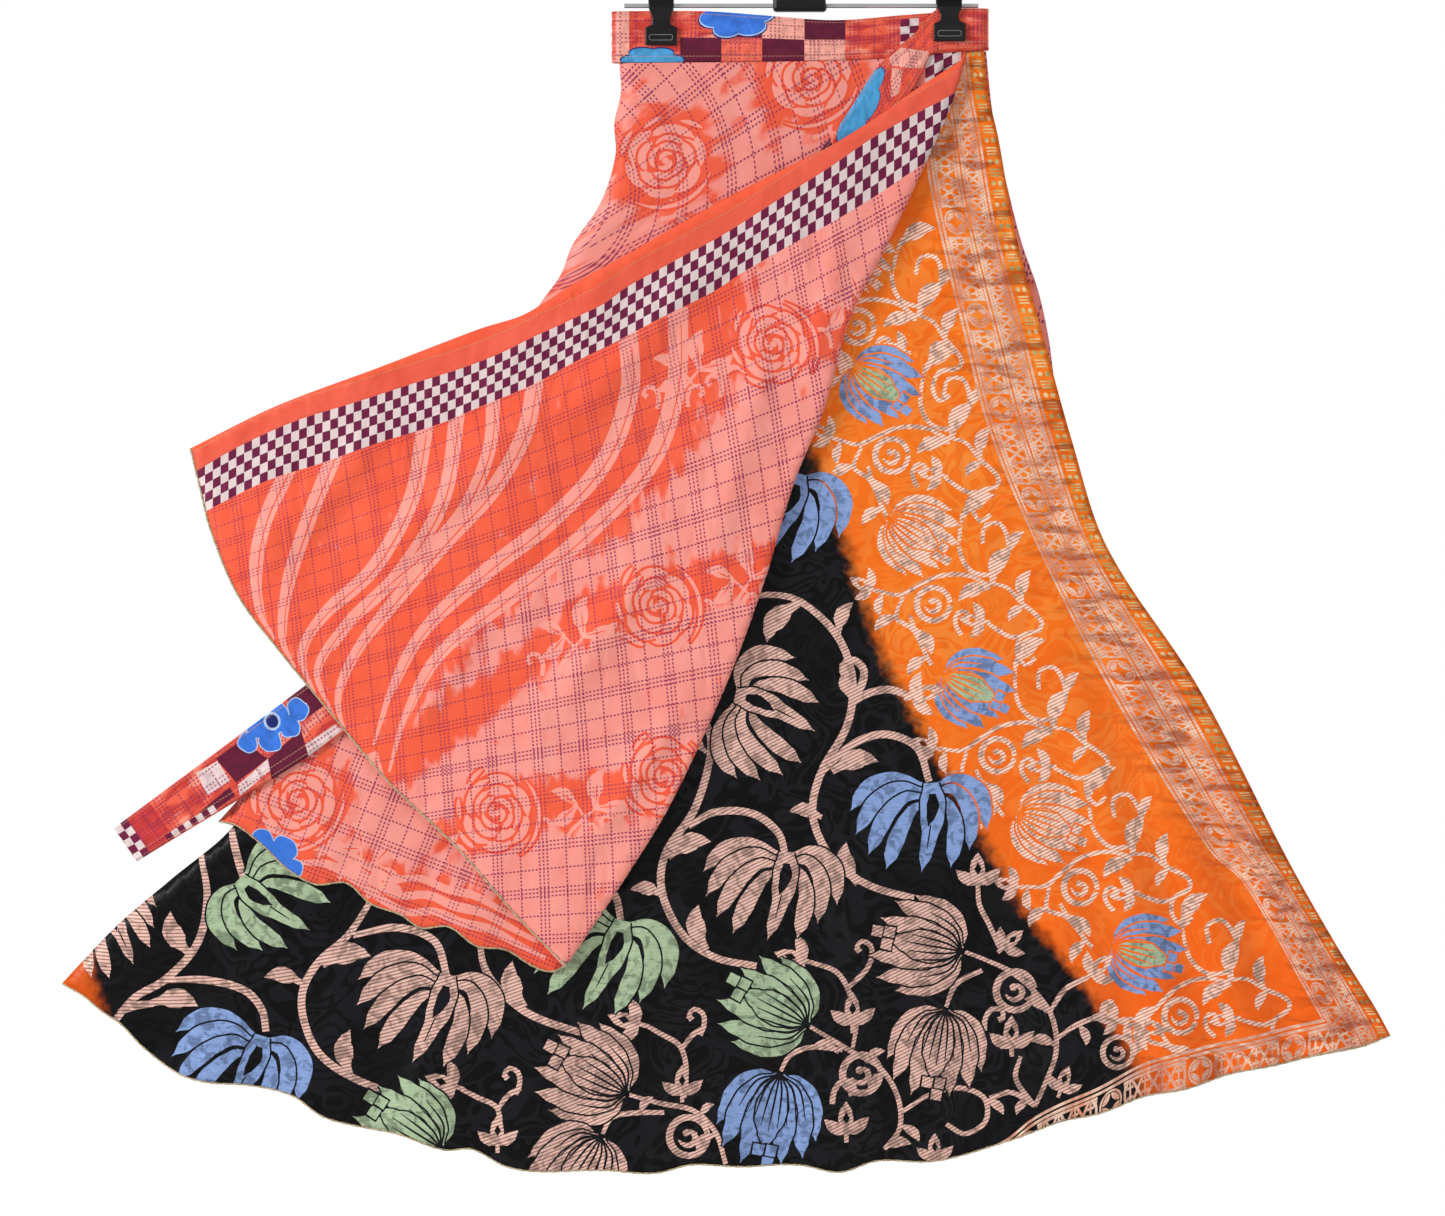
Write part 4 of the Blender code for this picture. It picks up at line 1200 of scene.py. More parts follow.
def brocade_cloth(name):
    finish = Finish(name, Specular_IOR_Level=0.14)
    whole, u, v = finish.map("weave")
    edge, walked, out = finish.map("side")
    foot, run, below = finish.map("foot")
    on_foot = below > out
    along = walked * (1 - on_foot) + run * on_foot
    out = out | below
    feather = finish.noise(whole, 0.12, 3.0)
    side = (finish.attribute("panel") + (feather - 0.5) * 16.0).rises(-9.0, 7.0)
    swirl = finish.noise(whole, 0.022, 1.0, 2.2)
    scrolls = (swirl * 5.0).math("FRACT").away(1.0).rises(0.2, 0.27)
    patches = finish.noise(whole, 0.011, 1.0).rises(0.42, 0.5)
    damask = scrolls * (patches * 0.6 + 0.4)
    # Painted sheen: the damask scrolls are a lighter colour than the ground, on black and on
    # orange.
    black = finish.mix(damask, rgb(3, 3, 4), rgb(22, 22, 27))
    orange = finish.mix(damask, rgb(254, 122, 26), rgb(255, 142, 52))
    deep = finish.noise(whole, 0.014, 2.0).rises(0.4, 0.7)
    orange = finish.mix(deep * 0.4, orange, rgb(240, 90, 8))
    # Painted shade: the orange ground grows deeper towards the bottom.
    orange = finish.mix(v.rises(380.0, 860.0) * 0.6, orange, rgb(246, 88, 14))
    left_tip = 1 - u.rises(-560.0, -470.0)
    orange = finish.mix(left_tip * 0.55, orange, rgb(168, 62, 22))
    ground = finish.mix(side, black, orange)
    weft = v + u * 0.5 + u * u * 0.00015 - u * u * u * 0.000000467
    thread = weft.away(THREAD_STEP).rises(0.32, 0.6)
    cover = finish.attribute("dye", "Alpha") * (out < -0.4)
    hatch = finish.attribute("hatch")
    light = finish.mix(side * hatch, finish.attribute("dye", "Color"), rgb(240, 202, 182))
    between = finish.mix(side, rgb(118, 82, 74), rgb(176, 98, 74))
    motif = finish.mix((1 - thread) * hatch * 0.85, light, between)
    mottle = finish.noise(whole, 0.10, 4.0, 1.2)
    streaks = finish.stretched_noise(whole, 0.10, 1.1)
    # Painted shade: the motifs grow darker towards the bottom. On the smooth satin motifs the
    # streaks are a painted sheen.
    bright = mottle.rises(0.42, 0.5) * 0.38 + (mottle - 0.5) * 0.8 + 0.85
    bright = bright - v.rises(450.0, 800.0) * 0.09 + (streaks - 0.5) * 0.9 * (1 - hatch)
    colour = finish.mix(cover, ground, finish.shaded(motif, bright))
    worn = finish.noise(edge, 0.05, 3.0)
    gold = finish.mix(worn.rises(0.3, 0.7), rgb(216, 146, 120), rgb(255, 222, 198))
    gold = finish.mix((1 - thread) * 0.32, gold, rgb(190, 88, 58))
    colour = finish.mix(zari(along, out) * 0.96, colour, gold)
    speck = finish.mix(worn.rises(0.4, 0.6), rgb(150, 178, 116), rgb(240, 226, 170))
    colour = finish.mix(dots(along, out) * 0.85, colour, speck)
    fine = finish.stretched_noise(whole, 0.8, 2.6)
    gathers = finish.stretched_noise(edge, 0.11, 0.022, 3.0, 0.4)
    near_edge = (out + 40.0).rises(0.0, 70.0)
    wrinkles = finish.noise(whole, 0.035, 3.0, 0.5)
    height = gathers * near_edge * 6.0 + wrinkles * 3.0 + fine * 0.12 + thread * hatch * 0.1
    # Painted shade: near the border the orange turns dark brown in the hollows between the gathers.
    painted_fold_shade = (1 - gathers.rises(0.36, 0.5)) * near_edge * side * 0.6
    colour = finish.mix(painted_fold_shade, colour, rgb(150, 52, 18))
    rough = 0.40 - damask * 0.12 - cover * 0.04 + fine * 0.12
    return finish.wear(colour, rough, finish.bump(height, 0.0009))


brocade = brocade_cloth("brocade_cloth")
print("brocade nodes:", len(brocade.node_tree.nodes))

# %% [markdown]
# ## The waistband's print
#
# The band and the tie are cut from a third print, with large blocks, small checks and blue
# flowers on a mottled red and pink ground. Rows of stitches hold their folded edges.

# %% The band's material
def band_cloth(name, stitches):
    """The third print, with rows of stitches at the given distances from its upper edge."""
    finish = Finish(name, Sheen_Weight=0.1, Sheen_Roughness=0.4, Specular_IOR_Level=0.2)
    whole, u, v = finish.map("weave")
    streaks = finish.stretched_noise(whole, 0.06, 0.12, 4.0, 0.5)
    ground = finish.mix(streaks.rises(0.35, 0.65), rgb(200, 58, 50), rgb(242, 100, 74))
    pinks = finish.stretched_noise(whole, 0.03, 0.07)
    ground = finish.mix(pinks.rises(0.55, 0.68), ground, rgb(250, 150, 130))
    cloudy = finish.noise(whole, 0.12, 4.0, 0.8)
    dyed = finish.shaded(finish.attribute("dye", "Color"), (cloudy - 0.5) * 1.2 + 1.0)
    colour = finish.mix(finish.attribute("dye", "Alpha"), ground, dyed)
    check = dashed_check(u, v + 6.0, 31.0, 27.0) * (1 - finish.attribute("hatch")) * 0.75
    colour = finish.mix(check, colour, rgb(140, 40, 84))
    sewn = (v - stitches[0]).within(0.32)
    for place in stitches[1:]:
        sewn = sewn | (v - place).within(0.32)
    sewn = sewn * u.share(2.8).rises(0.25, 0.35)
    colour = finish.mix(sewn * 0.55, colour, rgb(222, 164, 126))
    grain = finish.stretched_noise(whole, 2.6, 1.4)
    height = grain * 0.3 + cloudy * 0.5 - sewn * 0.9
    return finish.wear(colour, grain * 0.15 + 0.5, finish.bump(height, 0.0003))


band_print = band_cloth("band_print", (2.4, 35.5))
strap_print = band_cloth("strap_print", (2.2, 32.5, 37.8))
print("band nodes:", len(band_print.node_tree.nodes))

# %% [markdown]
# ## The brocade layer
#
# Its front and back stretches meet in the fold at the left. Near that fold both are drawn in to
# the middle plane, so that they close like the edge of an envelope.

# %% The front and the back of the brocade layer
BELOW_BAND = 0.4


def seam(left, right):
    count = 40
    xs = [left + (right - left) * i / count for i in range(count + 1)]
    return [Vector((x, band_bottom(x)[0] + BELOW_BAND)) for x in xs]


MEETING = 0.65  # half of the distance between the two walls in the fold


def drawn_in(depth, at, left, reach):
    """The depth near the fold at the left, where front and back meet in a round edge."""
    share = limited((at.x - left(at.y)[0]) / reach)
    return MEETING + (depth - MEETING) * math.sqrt(1 - (1 - share) ** 2)


def layer_edge(left, hem, right, step=5.0):
    top = seam(left[0][0], right[0][0])
    right_side = Outline([top[-1]] + right[1:]).sampled(step)
    left_side = Outline([top[0]] + left[1:]).sampled(step)
    return closed(top, right_side, Outline(hem).sampled(3.0)[::-1], left_side[::-1])


under_left = Track(UNDER_LEFT, by=1)
BORDER_INNER = [(90, 16), (95, 62), (100, 126), (111, 180), (129, 255), (146, 322), (179, 404),
                (242, 530), (319, 655), (347, 682), (407, 787), (429, 819)]
BORDER_LOW = [(109, 902), (157, 883), (183, 863), (229, 842), (273, 820), (314, 809),
              (370, 796), (407, 787), (468, 772)]
BLACK_ENDS = [(-8, 289), (9, 336), (23, 374), (36, 411), (44, 436), (56, 473), (70, 511),
              (107, 579), (149, 654), (170, 691), (190, 720), (214, 749), (237, 781), (262, 819),
              (273, 858), (281, 897)]
border_inner, border_outer = Track(BORDER_INNER, by=1), Track(UNDER_RIGHT, by=1)
border_low, black_ends = Track(BORDER_LOW), Track(BLACK_ENDS, by=1)
BORDER_WIDE = 69.0
BORDER_STARTS = 106  # along the hem
NO_BORDER = -90.0


def border_side(at):
    """Along the woven border at the right, and outwards from its inner line."""
    inner, walked = border_inner(at.y)
    outer = border_outer(at.y)[0]
    return walked, (at.x - inner) / max(outer - inner, 20.0) * BORDER_WIDE


def border_foot(at):
    """The same along the hem, where the border turns round the corner."""
    low, run = border_low(at.x)
    return run, ((at.y - low) * 0.93 if at.x > BORDER_STARTS else NO_BORDER)


def orange_side(at):
    """How far a place lies on the orange side of the line where the black ends."""
    line = (at.x - black_ends(at.y)[0]) * 0.85
    tip = -556 + 0.27 * (at.y - 744) - at.x
    return max(line, tip)


def flat_map(at):
    return at.x, at.y


def under_reach(at):
    """How far from the fold at the left a layer is drawn in."""
    return 8 + 0.024 * at.y


def under_front_place(at):
    return spot(at, drawn_in(under_depth(at), at, under_left, under_reach(at)))


under_shapes = []
for at, turn, blue in SCROLLS:
    under_shapes += scroll(at, turn, blue)
under_shapes += brocade_front()
under_front = cut_sheet(
    "under_front_cloth", layer_edge(UNDER_LEFT, UNDER_HEM, UNDER_RIGHT), 6.5, under_shapes,
    under_front_place,
    {"weave": flat_map, "side": border_side, "foot": border_foot}, {"panel": orange_side},
)
finish_sheet(under_front, brocade, "under_cloth", "under_front")

# %% The back of the brocade layer
back_right = Track(UNDER_BACK_RIGHT, by=1)


def back_orange(at):
    return at.x - (back_right(at.y)[0] - 95 - 0.1 * at.y)


def under_back_place(at):
    return spot(at, -drawn_in(under_back_depth(at), at, under_left, under_reach(at)))


under_back = cut_sheet(
    "under_back_cloth", layer_edge(UNDER_LEFT, UNDER_BACK_HEM, UNDER_BACK_RIGHT), 8.0,
    brocade_back(), under_back_place,
    {"weave": flat_map, "side": lambda at: (at.y, NO_BORDER),
     "foot": lambda at: (at.x, NO_BORDER)},
    {"panel": back_orange}, facing=1,
)
finish_sheet(under_back, brocade, "under_cloth", "under_back")

# %% [markdown]
# ## The coral layer
#
# The front stretch, its round fold and the flap are one wall. The flap is cut as its own sheet
# that reaches round the fold, and the front stretch ends where the fold begins.

# %% Where the coral print lies
RIBBONS = [  # half width, then the middle line
    (6.4, (-390, 340), (-402, 365), (-417, 399), (-424, 437), (-420, 470), (-409, 491)),
    (6.4, (-354, 324), (-365, 353), (-383, 398), (-399, 448), (-403, 491), (-393, 513)),
    (6.6, (-292, 324), (-303, 382), (-332, 435), (-373, 474), (-388, 503), (-376, 538)),
    (6.0, (-267, 314), (-278, 382), (-314, 441), (-354, 480), (-376, 516), (-363, 551)),
    (5.4, (-239, 303), (-242, 343), (-262, 390), (-293, 424), (-334, 460), (-363, 499)),
    (6.6, (-206, 287), (-214, 329), (-239, 374), (-276, 415), (-318, 464), (-346, 501),
     (-360, 538), (-351, 573)),
    (7.6, (-134, 251), (-133, 298), (-153, 353), (-197, 401), (-243, 437), (-293, 484),
     (-318, 530), (-332, 573)),
    (7.8, (-95, 232), (-97, 296), (-117, 354), (-168, 410), (-229, 460), (-282, 504),
     (-309, 555), (-320, 594)),
    (5.6, (-309, 646), (-293, 675), (-264, 696), (-232, 708)),
    (4.6, (-334, 579), (-321, 616), (-296, 652), (-257, 679)),
]
# the flap is orange-red up to the first line, and again round the rows of its roses
RED_ENDS = [(-69, 214), (-86, 289), (-125, 359), (-187, 421), (-257, 491), (-304, 554),
            (-320, 616)]
CHECKS_TOP = [(-476, 363), (-438, 341), (-394, 321), (-349, 307), (-303, 292), (-259, 278),
              (-229, 266), (-209, 256), (-189, 247), (-168, 237), (-152, 229), (-136, 217),
              (-107, 201), (-87, 190), (-66, 179), (-48, 168), (-12, 145), (23, 123), (58, 99),
              (92, 80), (113, 69), (136, 55), (164, 39)]
CHECKS_END = [(-476, 398), (-417, 368), (-371, 353), (-326, 337), (-281, 323), (-250, 310),
              (-209, 293), (-189, 282), (-168, 271), (-147, 261), (-107, 240), (-66, 219),
              (-48, 207), (-12, 186), (23, 167), (58, 146), (89, 125), (113, 109), (136, 94),
              (164, 78)]
# a rose, or the leaves of one that the ribbons hide: middle, turn
FLAP_ROSES = [((-21, 261), 25), ((-111, 465), 14), ((-236, 626), 0), ((-106, 598), 3)]
FLAP_LEAVES = [((-154, 295), 8), ((-244, 503), 8), ((-370, 654), 0)]
FRONT_ROSES = [((-105, 117), -66), ((9, 53), -60), ((-392, 617), -42)]
BACK_ROSES = [((-60, 150), 0), ((-190, 300), 30), ((10, 330), 50), ((-110, 470), 10),
              ((-320, 470), 80), ((130, 540), 20), ((-40, 640), 60), ((-250, 640), -20)]
ROSE_ROWS = [
    [(-187, 347), (-86, 282), (-16, 261), (78, 240)],
    [(-296, 573), (-236, 530), (-164, 474), (-109, 460), (-8, 429)],
    [(-281, 655), (-234, 628), (-156, 613), (-86, 597), (-31, 569)],
]
HEM_WAVES = [(12, 3.6), (25, 3.8), (38, 3.2)]  # height above the hem, half width
checks_top, checks_end = Track(CHECKS_TOP), Track(CHECKS_END)
red_ends = Track(RED_ENDS, by=1)
rose_rows = [Track(row) for row in ROSE_ROWS]


def flap_zone(at):
    """1 where the flap is salmon, and 0 where it is orange-red."""
    right = at.x - red_ends(at.y)[0] + (12 if at.y > 430 else -10)
    zone = limited(right / 40.0)
    for row in rose_rows:
        zone = min(zone, limited((abs(at.y - row(at.x)[0]) - 9) / 22.0))
    return 0.12 + 0.82 * zone


def zone_round(roses):
    """Cloudy salmon that turns red round each rose and near the front hem."""
    middles = [Vector(middle) for middle, turn in roses]

    def zone(at):
        wavy = noise.noise(Vector((at.x, at.y, 7.0)) * 0.011)
        near_rose = min((at - middle).length for middle in middles)
        low = limited((at.y - 644 - 0.4 * (at.x + 350)) / 26.0) if at.y > 560 else 0.0
        return min(0.75 + 0.6 * wavy, max(0.0, (near_rose - 26) / 34.0)) * (1 - low)

    return zone


def flap_weave(at):
    off = at.x + 150
    rise = 0.46 - 0.0009 * (at.y - 250)
    return (
        at.x * 1.02 - 0.17 * at.y + 0.00018 * max(at.y - 300, 0.0) ** 2,
        at.y + rise * off - 0.00022 * off * off,
    )


BEND = 330.0  # radius at which the bent grain has its true width


def front_weave(at):
    """At the hip the grain bends round a point to the left; under the flap it straightens."""
    if at.y > 430:
        return 0.93 * at.x + 0.36 * at.y, 0.93 * at.y - 0.36 * at.x
    far = at - Vector((-390, 313))
    return math.atan2(far.x, -far.y) * BEND, (at - Vector((-205, 140))).length


def flap_trim(at):
    return at.x, at.y - checks_top(at.x)[0]


def checks_share(at):
    """0 along the upper side of the chequered band and 1 along its lower side."""
    first, last = checks_top(at.x)[0], checks_end(at.x)[0]
    return (at.y - first) / (last - first)


def back_weave(at):
    off = at - Vector((-420, 80))
    return math.atan2(off.x, -off.y) * BEND, off.length


print("flap roses:", len(FLAP_ROSES))

# %% The front stretch of the coral layer
outer_left = Track(OUTER_LEFT, by=1)
OUTER_REACH = 4.0  # how far from the fold at the left the layer is drawn in
TURNING = [(x - FLAP_STEP / 2, drop) for x, drop in FOLD_LINE]
TURNING[0] = (TURNING[0][0], band_bottom(TURNING[0][0])[0] + BELOW_BAND)
CHECK_CELL = (7.0, 8.0, 3.6)  # how wide and high the small slanted squares are, and their slant
FRONT_BLOOM = [((-420, 649), 9.5), ((-403, 655), 10), ((-397, 670), 8.5), ((-415, 663), 13)]


def outer_front_place(at):
    return spot(at, drawn_in(outer_depth(at), at, outer_left, OUTER_REACH))


def rose_and_leaves(at, turn, radius=29):
    return rose_leaves(at, turn) + rose(at, radius, turn)


def outer_front_shapes():
    shapes, hem = [], Outline(OUTER_HEM)
    for up, half in HEM_WAVES:
        line = []
        for i in range(11):
            over = Vector((0.45 * up, up + 3 * math.sin(i)))
            line.append(hem(0.19 + 0.77 * i / 10) - over)
        shapes.append((blade(line, (0.6, half, half * 0.8, half, half * 0.5)), "salmon"))
    for at, turn in FRONT_ROSES:
        shapes += rose_and_leaves(at, turn, 31)
    shapes += lobes_at(FRONT_BLOOM, "sky")
    wide, high, slant = CHECK_CELL
    for i in range(4):
        for j in range(5):
            corner = Vector((98 + wide * i, 10 + high * j + slant * (3 - i)))
            steps = ((0, 0), (wide, -slant), (wide, high - slant), (0, high))
            cell = [corner + Vector(step) for step in steps]
            shapes.append((cell, ("pale", "plum")[(i + j) % 2]))
    strip = [Vector(p) for p in ((126, 8), (138, 4), (138, 52), (126, 52))]
    return shapes + [(strip, "flat_red")]


outer_front = cut_sheet(
    "outer_front_cloth",
    layer_edge(OUTER_LEFT, OUTER_HEM[:-1] + TURNING[-1:], TURNING, 4.0), 7.0,
    outer_front_shapes(), outer_front_place,
    {"weave": front_weave}, {"zone": zone_round(FRONT_ROSES)},
)
finish_sheet(outer_front, coral_plain, "outer_cloth", "outer_front")

# %% The flap, with its round fold
turning = Track(TURNING, by=1)
ROUND = math.pi * FLAP_STEP / 2
LEAN = 0.9  # the share of a sideways step that goes across the fold line
HALF_FOLD = FLAP_STEP / 2


def flap_place(at):
    """Past the turning line the sheet goes round the fold and ends on the front stretch."""
    past = (at.x - turning(at.y)[0]) * LEAN
    if past <= 0:
        return spot(at, flap_depth(at))
    line = Vector((turning(at.y)[0], at.y))
    near, far = outer_depth(line), flap_depth(line)
    angle = min(past / ROUND, 1.0) * math.pi
    at_side = line + Vector((HALF_FOLD * math.sin(angle), 0.0))
    return spot(at_side, (near + far) / 2 + (far - near) / 2 * math.cos(angle))


turn_line = Outline(TURNING)
beyond = [p + Vector((ROUND / LEAN, 0.0)) for p in turn_line.sampled(4.0)[1:]]
flap_edge = closed(
    Outline(FLAP_EDGE).sampled(4.0)[::-1], Outline([FLAP_EDGE[0], TURNING[0]]).sampled(2.0),
    beyond, Outline(FLAP_HEM[:-1] + TURNING[-1:]).sampled(3.0)[::-1],
)
fold_rows = [p + Vector((ROUND / LEAN * share, 0.0)) for share in (0.0, 0.25, 0.5, 0.75)
             for p in turn_line.sampled(6.0)[1:-1]]
flap_shapes = []
for at, turn in FLAP_ROSES:
    flap_shapes += rose_and_leaves(at, turn)
for at, turn in FLAP_LEAVES:
    flap_shapes += rose_leaves(at, turn)
for half, *points in RIBBONS:
    flap_shapes += ribbon(points, half)
flap = cut_sheet(
    "outer_flap_cloth", flap_edge, 6.5, flap_shapes, flap_place,
    {"weave": flap_weave, "trim": flap_trim}, {"zone": flap_zone, "checks": checks_share},
    extra=fold_rows,
)
finish_sheet(flap, coral_trimmed, "outer_cloth", "outer_front")

# %% The back of the coral layer
def outer_back_place(at):
    return spot(at, -drawn_in(outer_back_depth(at), at, outer_left, OUTER_REACH))


back_shapes = []
for at, turn in BACK_ROSES:
    back_shapes += rose_and_leaves(at, turn)
outer_back = cut_sheet(
    "outer_back_cloth", layer_edge(OUTER_LEFT, OUTER_BACK_HEM, OUTER_BACK_RIGHT, 4.0), 8.0,
    back_shapes, outer_back_place,
    {"weave": back_weave}, {"zone": zone_round(BACK_ROSES)}, facing=1,
)
finish_sheet(outer_back, coral_plain, "outer_cloth", "outer_back")

# %% [markdown]
# ## The waistband and the tie
#
# The waistband is a folded strip that lies flat as a ring. The tie is sewn to its right end,
# comes round it to the front, and runs down under the flap to its free end at the lower left.

# %% The waistband
band_top = Track(BAND_TOP)
BAND_RUN = BAND_END_X[1] - BAND_END_X[0]
BAND_TURN = math.pi * BAND_MIDDLE


def band_place(at):
    """From the left end along the front, round the right end, and along the back again."""
    s = at.x
    if s <= BAND_RUN:
        x, depth = BAND_END_X[0] + s, BAND_MIDDLE
    elif s <= BAND_RUN + BAND_TURN:
        a = (s - BAND_RUN) / BAND_MIDDLE
        x, depth = BAND_END_X[1] + BAND_MIDDLE * math.sin(a), BAND_MIDDLE * math.cos(a)
    elif s <= 2 * BAND_RUN + BAND_TURN:
        x, depth = BAND_END_X[1] - (s - BAND_RUN - BAND_TURN), -BAND_MIDDLE
    else:
        a = (s - 2 * BAND_RUN - BAND_TURN) / BAND_MIDDLE
        x, depth = BAND_END_X[0] - BAND_MIDDLE * math.sin(a), -BAND_MIDDLE * math.cos(a)
    share = at.y / BAND_WIDE
    drop = band_top(x)[0] * (1 - share) + band_bottom(x)[0] * share
    return spot(Vector((x, drop)), depth)


def strip_edge(long, wide, step):
    """The outline of a straight strip, with points close enough to bend it."""
    corners = [(0, 0), (long, 0), (long, wide), (0, wide), (0, 0)]
    return closed(*(
        Outline(corners[i:i + 2]).sampled((step, 4.0)[i % 2]) for i in range(4)
    ))


def box_shape(left, top, right, bottom):
    return [Vector(p) for p in ((left, top), (right, top), (right, bottom), (left, bottom))]


def small_checks(left, top, columns, rows, size):
    shapes = [(box_shape(left, top, left + columns * size, top + rows * size), "pale")]
    for i in range(columns):
        for j in range(rows):
            if (i + j) % 2 == 0:
                x, y = left + i * size, top + j * size
                shapes.append((box_shape(x, y, x + size, y + size), "plum"))
    return shapes


BAND_BLOCKS = [  # from x, from the band's top, to x, to the band's top, dye
    (50, 21, 82, 40, "block"), (114, 20, 147, 40, "block"), (147, 0, 179, 20, "block"),
    (84, 9, 114, 20, "burgundy"), (114, 0, 147, 20, "pink"), (147, 20, 179, 40, "pink"),
    (82, 21, 114, 40, "orange"), (0, 0, 10, 40, "pink"), (271, 12, 291, 28, "pink"),
]


def band_shapes():
    shapes = [(box_shape(*box), dye) for *box, dye in BAND_BLOCKS]
    shapes += small_checks(222, 4, 2, 4, 7.2)
    for radius, drop, dye in ((30.5, 3, "navy"), (29.5, 2.5, "rim"), (28.5, 2, "sky")):
        shapes += bloom((94, drop), radius, dye, 6, 10, 0.62)
    shapes += bloom((28, 38), 25, "navy", 6, 0, 0.42) + bloom((28, 38.6), 24, "lake", 6, 0, 0.42)
    for k in range(7):
        x, low = BAND_RUN + 22 + 38 * k, 20 * (k % 2)
        dye = ("block", "pink")[k % 3 == 1]
        shapes.append((box_shape(x, low, x + 34, low + 20), dye))
    return shapes + bloom((BAND_RUN + 150, 14), 26, "sky", 5, 20, 0.6)


whole_run = 2 * (BAND_RUN + BAND_TURN)
waistband = cut_sheet("waistband_cloth", strip_edge(whole_run, BAND_WIDE, 2.4), 4.5,
                      band_shapes(), band_place, {"weave": flat_map})
form = bmesh.new()
form.from_mesh(waistband.data)
bmesh.ops.remove_doubles(form, verts=form.verts, dist=0.02 * MM)
bmesh.ops.recalc_face_normals(form, faces=form.faces)
form.to_mesh(waistband.data)
form.free()
finish_sheet(waistband, band_print, "band_cloth", "waistband", BAND_WALL)

# %% The tie
upper, lower = Outline(STRAP_UPPER), Outline(STRAP_LOWER)
ON_BAND = BAND_MIDDLE + BAND_WALL / 2 + 1.1  # depth of the tie where it lies on the waistband
BEHIND, BEFORE = 11.5, 16.3  # how long it lies behind the waistband's end, and before it
STRAP_STAGES = (BEHIND, BEHIND + math.pi * ON_BAND, BEHIND + BEFORE + math.pi * ON_BAND)
STRAP_RUN = (upper.length + lower.length) / 2
STRAP_LONG = STRAP_STAGES[2] + STRAP_RUN


def strap_flat(s, t):
    share, across = (s - STRAP_STAGES[2]) / STRAP_RUN, t / STRAP_WIDE
    return (1 - across) * upper(share) + across * lower(share)


def strap_place(at):
    s, across = at.x, at.y / STRAP_WIDE
    drop = (1 - across) * STRAP_UPPER[0][1] + across * STRAP_LOWER[0][1]
    if s < STRAP_STAGES[0]:
        return spot(Vector((BAND_END_X[1] - (STRAP_STAGES[0] - s), drop)), -ON_BAND)
    if s < STRAP_STAGES[1]:
        a = (s - STRAP_STAGES[0]) / ON_BAND
        return spot(Vector((BAND_END_X[1] + ON_BAND * math.sin(a), drop)), -ON_BAND * math.cos(a))
    if s < STRAP_STAGES[2]:
        return spot(Vector((BAND_END_X[1] - (s - STRAP_STAGES[1]), drop)), ON_BAND)
    place = strap_flat(s, at.y)
    lying = outer_depth(place) + spread(STRAP_STEP, place)
    return spot(place, ON_BAND + (max(lying, ON_BAND) - ON_BAND) * smooth_step((place.y - 25) / 30))


def on_strap(at):
    """The place along and across the tie that lies nearest to a place on the skirt."""
    tries = [Vector((STRAP_STAGES[2] + STRAP_RUN * i / 300, 2.0 * t))
             for i in range(301) for t in range(21)]
    return min(tries, key=lambda p: (strap_flat(*p) - Vector(at)).length)


STRAP_BLOCKS = [  # dye, then corners as they show on the tie's face
    ("milky", (-470, 595), (-453, 585), (-445, 602), (-463, 613)),
    ("block", (-456, 584), (-435, 569), (-414, 583), (-440, 604)),
    ("milky", (-439, 604), (-414, 583), (-412, 593), (-437, 613)),
    ("block", (-414, 583), (-390, 561), (-384, 584), (-412, 602)),
    ("milky", (-386, 573), (-363, 556), (-358, 561), (-384, 584)),
    ("block", (-401, 538), (-384, 524), (-367, 540), (-390, 557)),
    ("block", (-468, 626), (-445, 606), (-439, 613), (-463, 630)),
    ("warm", (80, 30), (97, 9), (108, 6), (108, 33), (100, 48), (89, 70), (70, 92), (50, 97),
     (66, 64)),
    ("pink", (69, 37), (80, 28), (100, 32), (102, 37), (95, 45), (72, 43)),
    ("pink", (72, 44), (80, 45), (77, 65), (71, 68)),
]


STRAP_BLOOM = [((-392, 545), 7.6), ((-397, 558), 7.4), ((-413, 569), 8.2), ((-429, 571), 7.2),
               ((-424, 559), 8.0), ((-410, 551), 11)]


def strap_shapes():
    end, wide = STRAP_LONG, STRAP_WIDE
    shapes = [(box_shape(end - 34, 0, end - 12, wide), "crimson")]
    for i in range(2):
        for j in range(5):
            cell = box_shape(end - 12 + 6 * i, 8 * j, end - 6 + 6 * i, 8 * j + 8)
            shapes.append((cell, ("plum", "pale")[(i + j) % 2]))
    for dye, *corners in STRAP_BLOCKS:
        shapes.append(([on_strap(p) for p in corners], dye))
    first = on_strap((-453, 626)).x
    for i in range(8):
        cell = box_shape(first + 5.6 * i, wide - 7, first + 5.6 * i + 5.6, wide - 1)
        shapes.append((cell, ("pale", "plum")[i % 2]))
    shapes += lobes_at([(on_strap(middle), radius) for middle, radius in STRAP_BLOOM], "sky")
    middle = on_strap((-413, 555))
    shapes += [(disc(middle, 6.8, 14, 0.95), "rim"), (disc(middle, 4.8, 14), "navy")]
    middle = on_strap((48, 73))
    shapes += bloom(middle, 33, "navy", 6, 0, 0.5) + bloom(middle, 32, "lake", 6, 0, 0.5)
    start = STRAP_STAGES[2] + 150
    for i in range(12):
        x, half = start + 46 * i, wide / 2
        if x < end - 230:
            box = box_shape(x, half * (i % 2), x + 31, half + half * (i % 2))
            shapes.append((box, ("block", "pink")[i % 2]))
    return shapes


tie = cut_sheet("tie_cloth", strip_edge(STRAP_LONG, STRAP_WIDE, 3.0), 4.0, strap_shapes(),
                strap_place, {"weave": flat_map})
finish_sheet(tie, strap_print, "band_cloth", "tie_strap", STRAP_WALL)

# %% [markdown]
# ## Serged hems
#
# The hems are overlocked: a soft beige thread is wound round each raw edge. A thin round curve
# along the edge is enough, with a fine twist in its colour and bump.

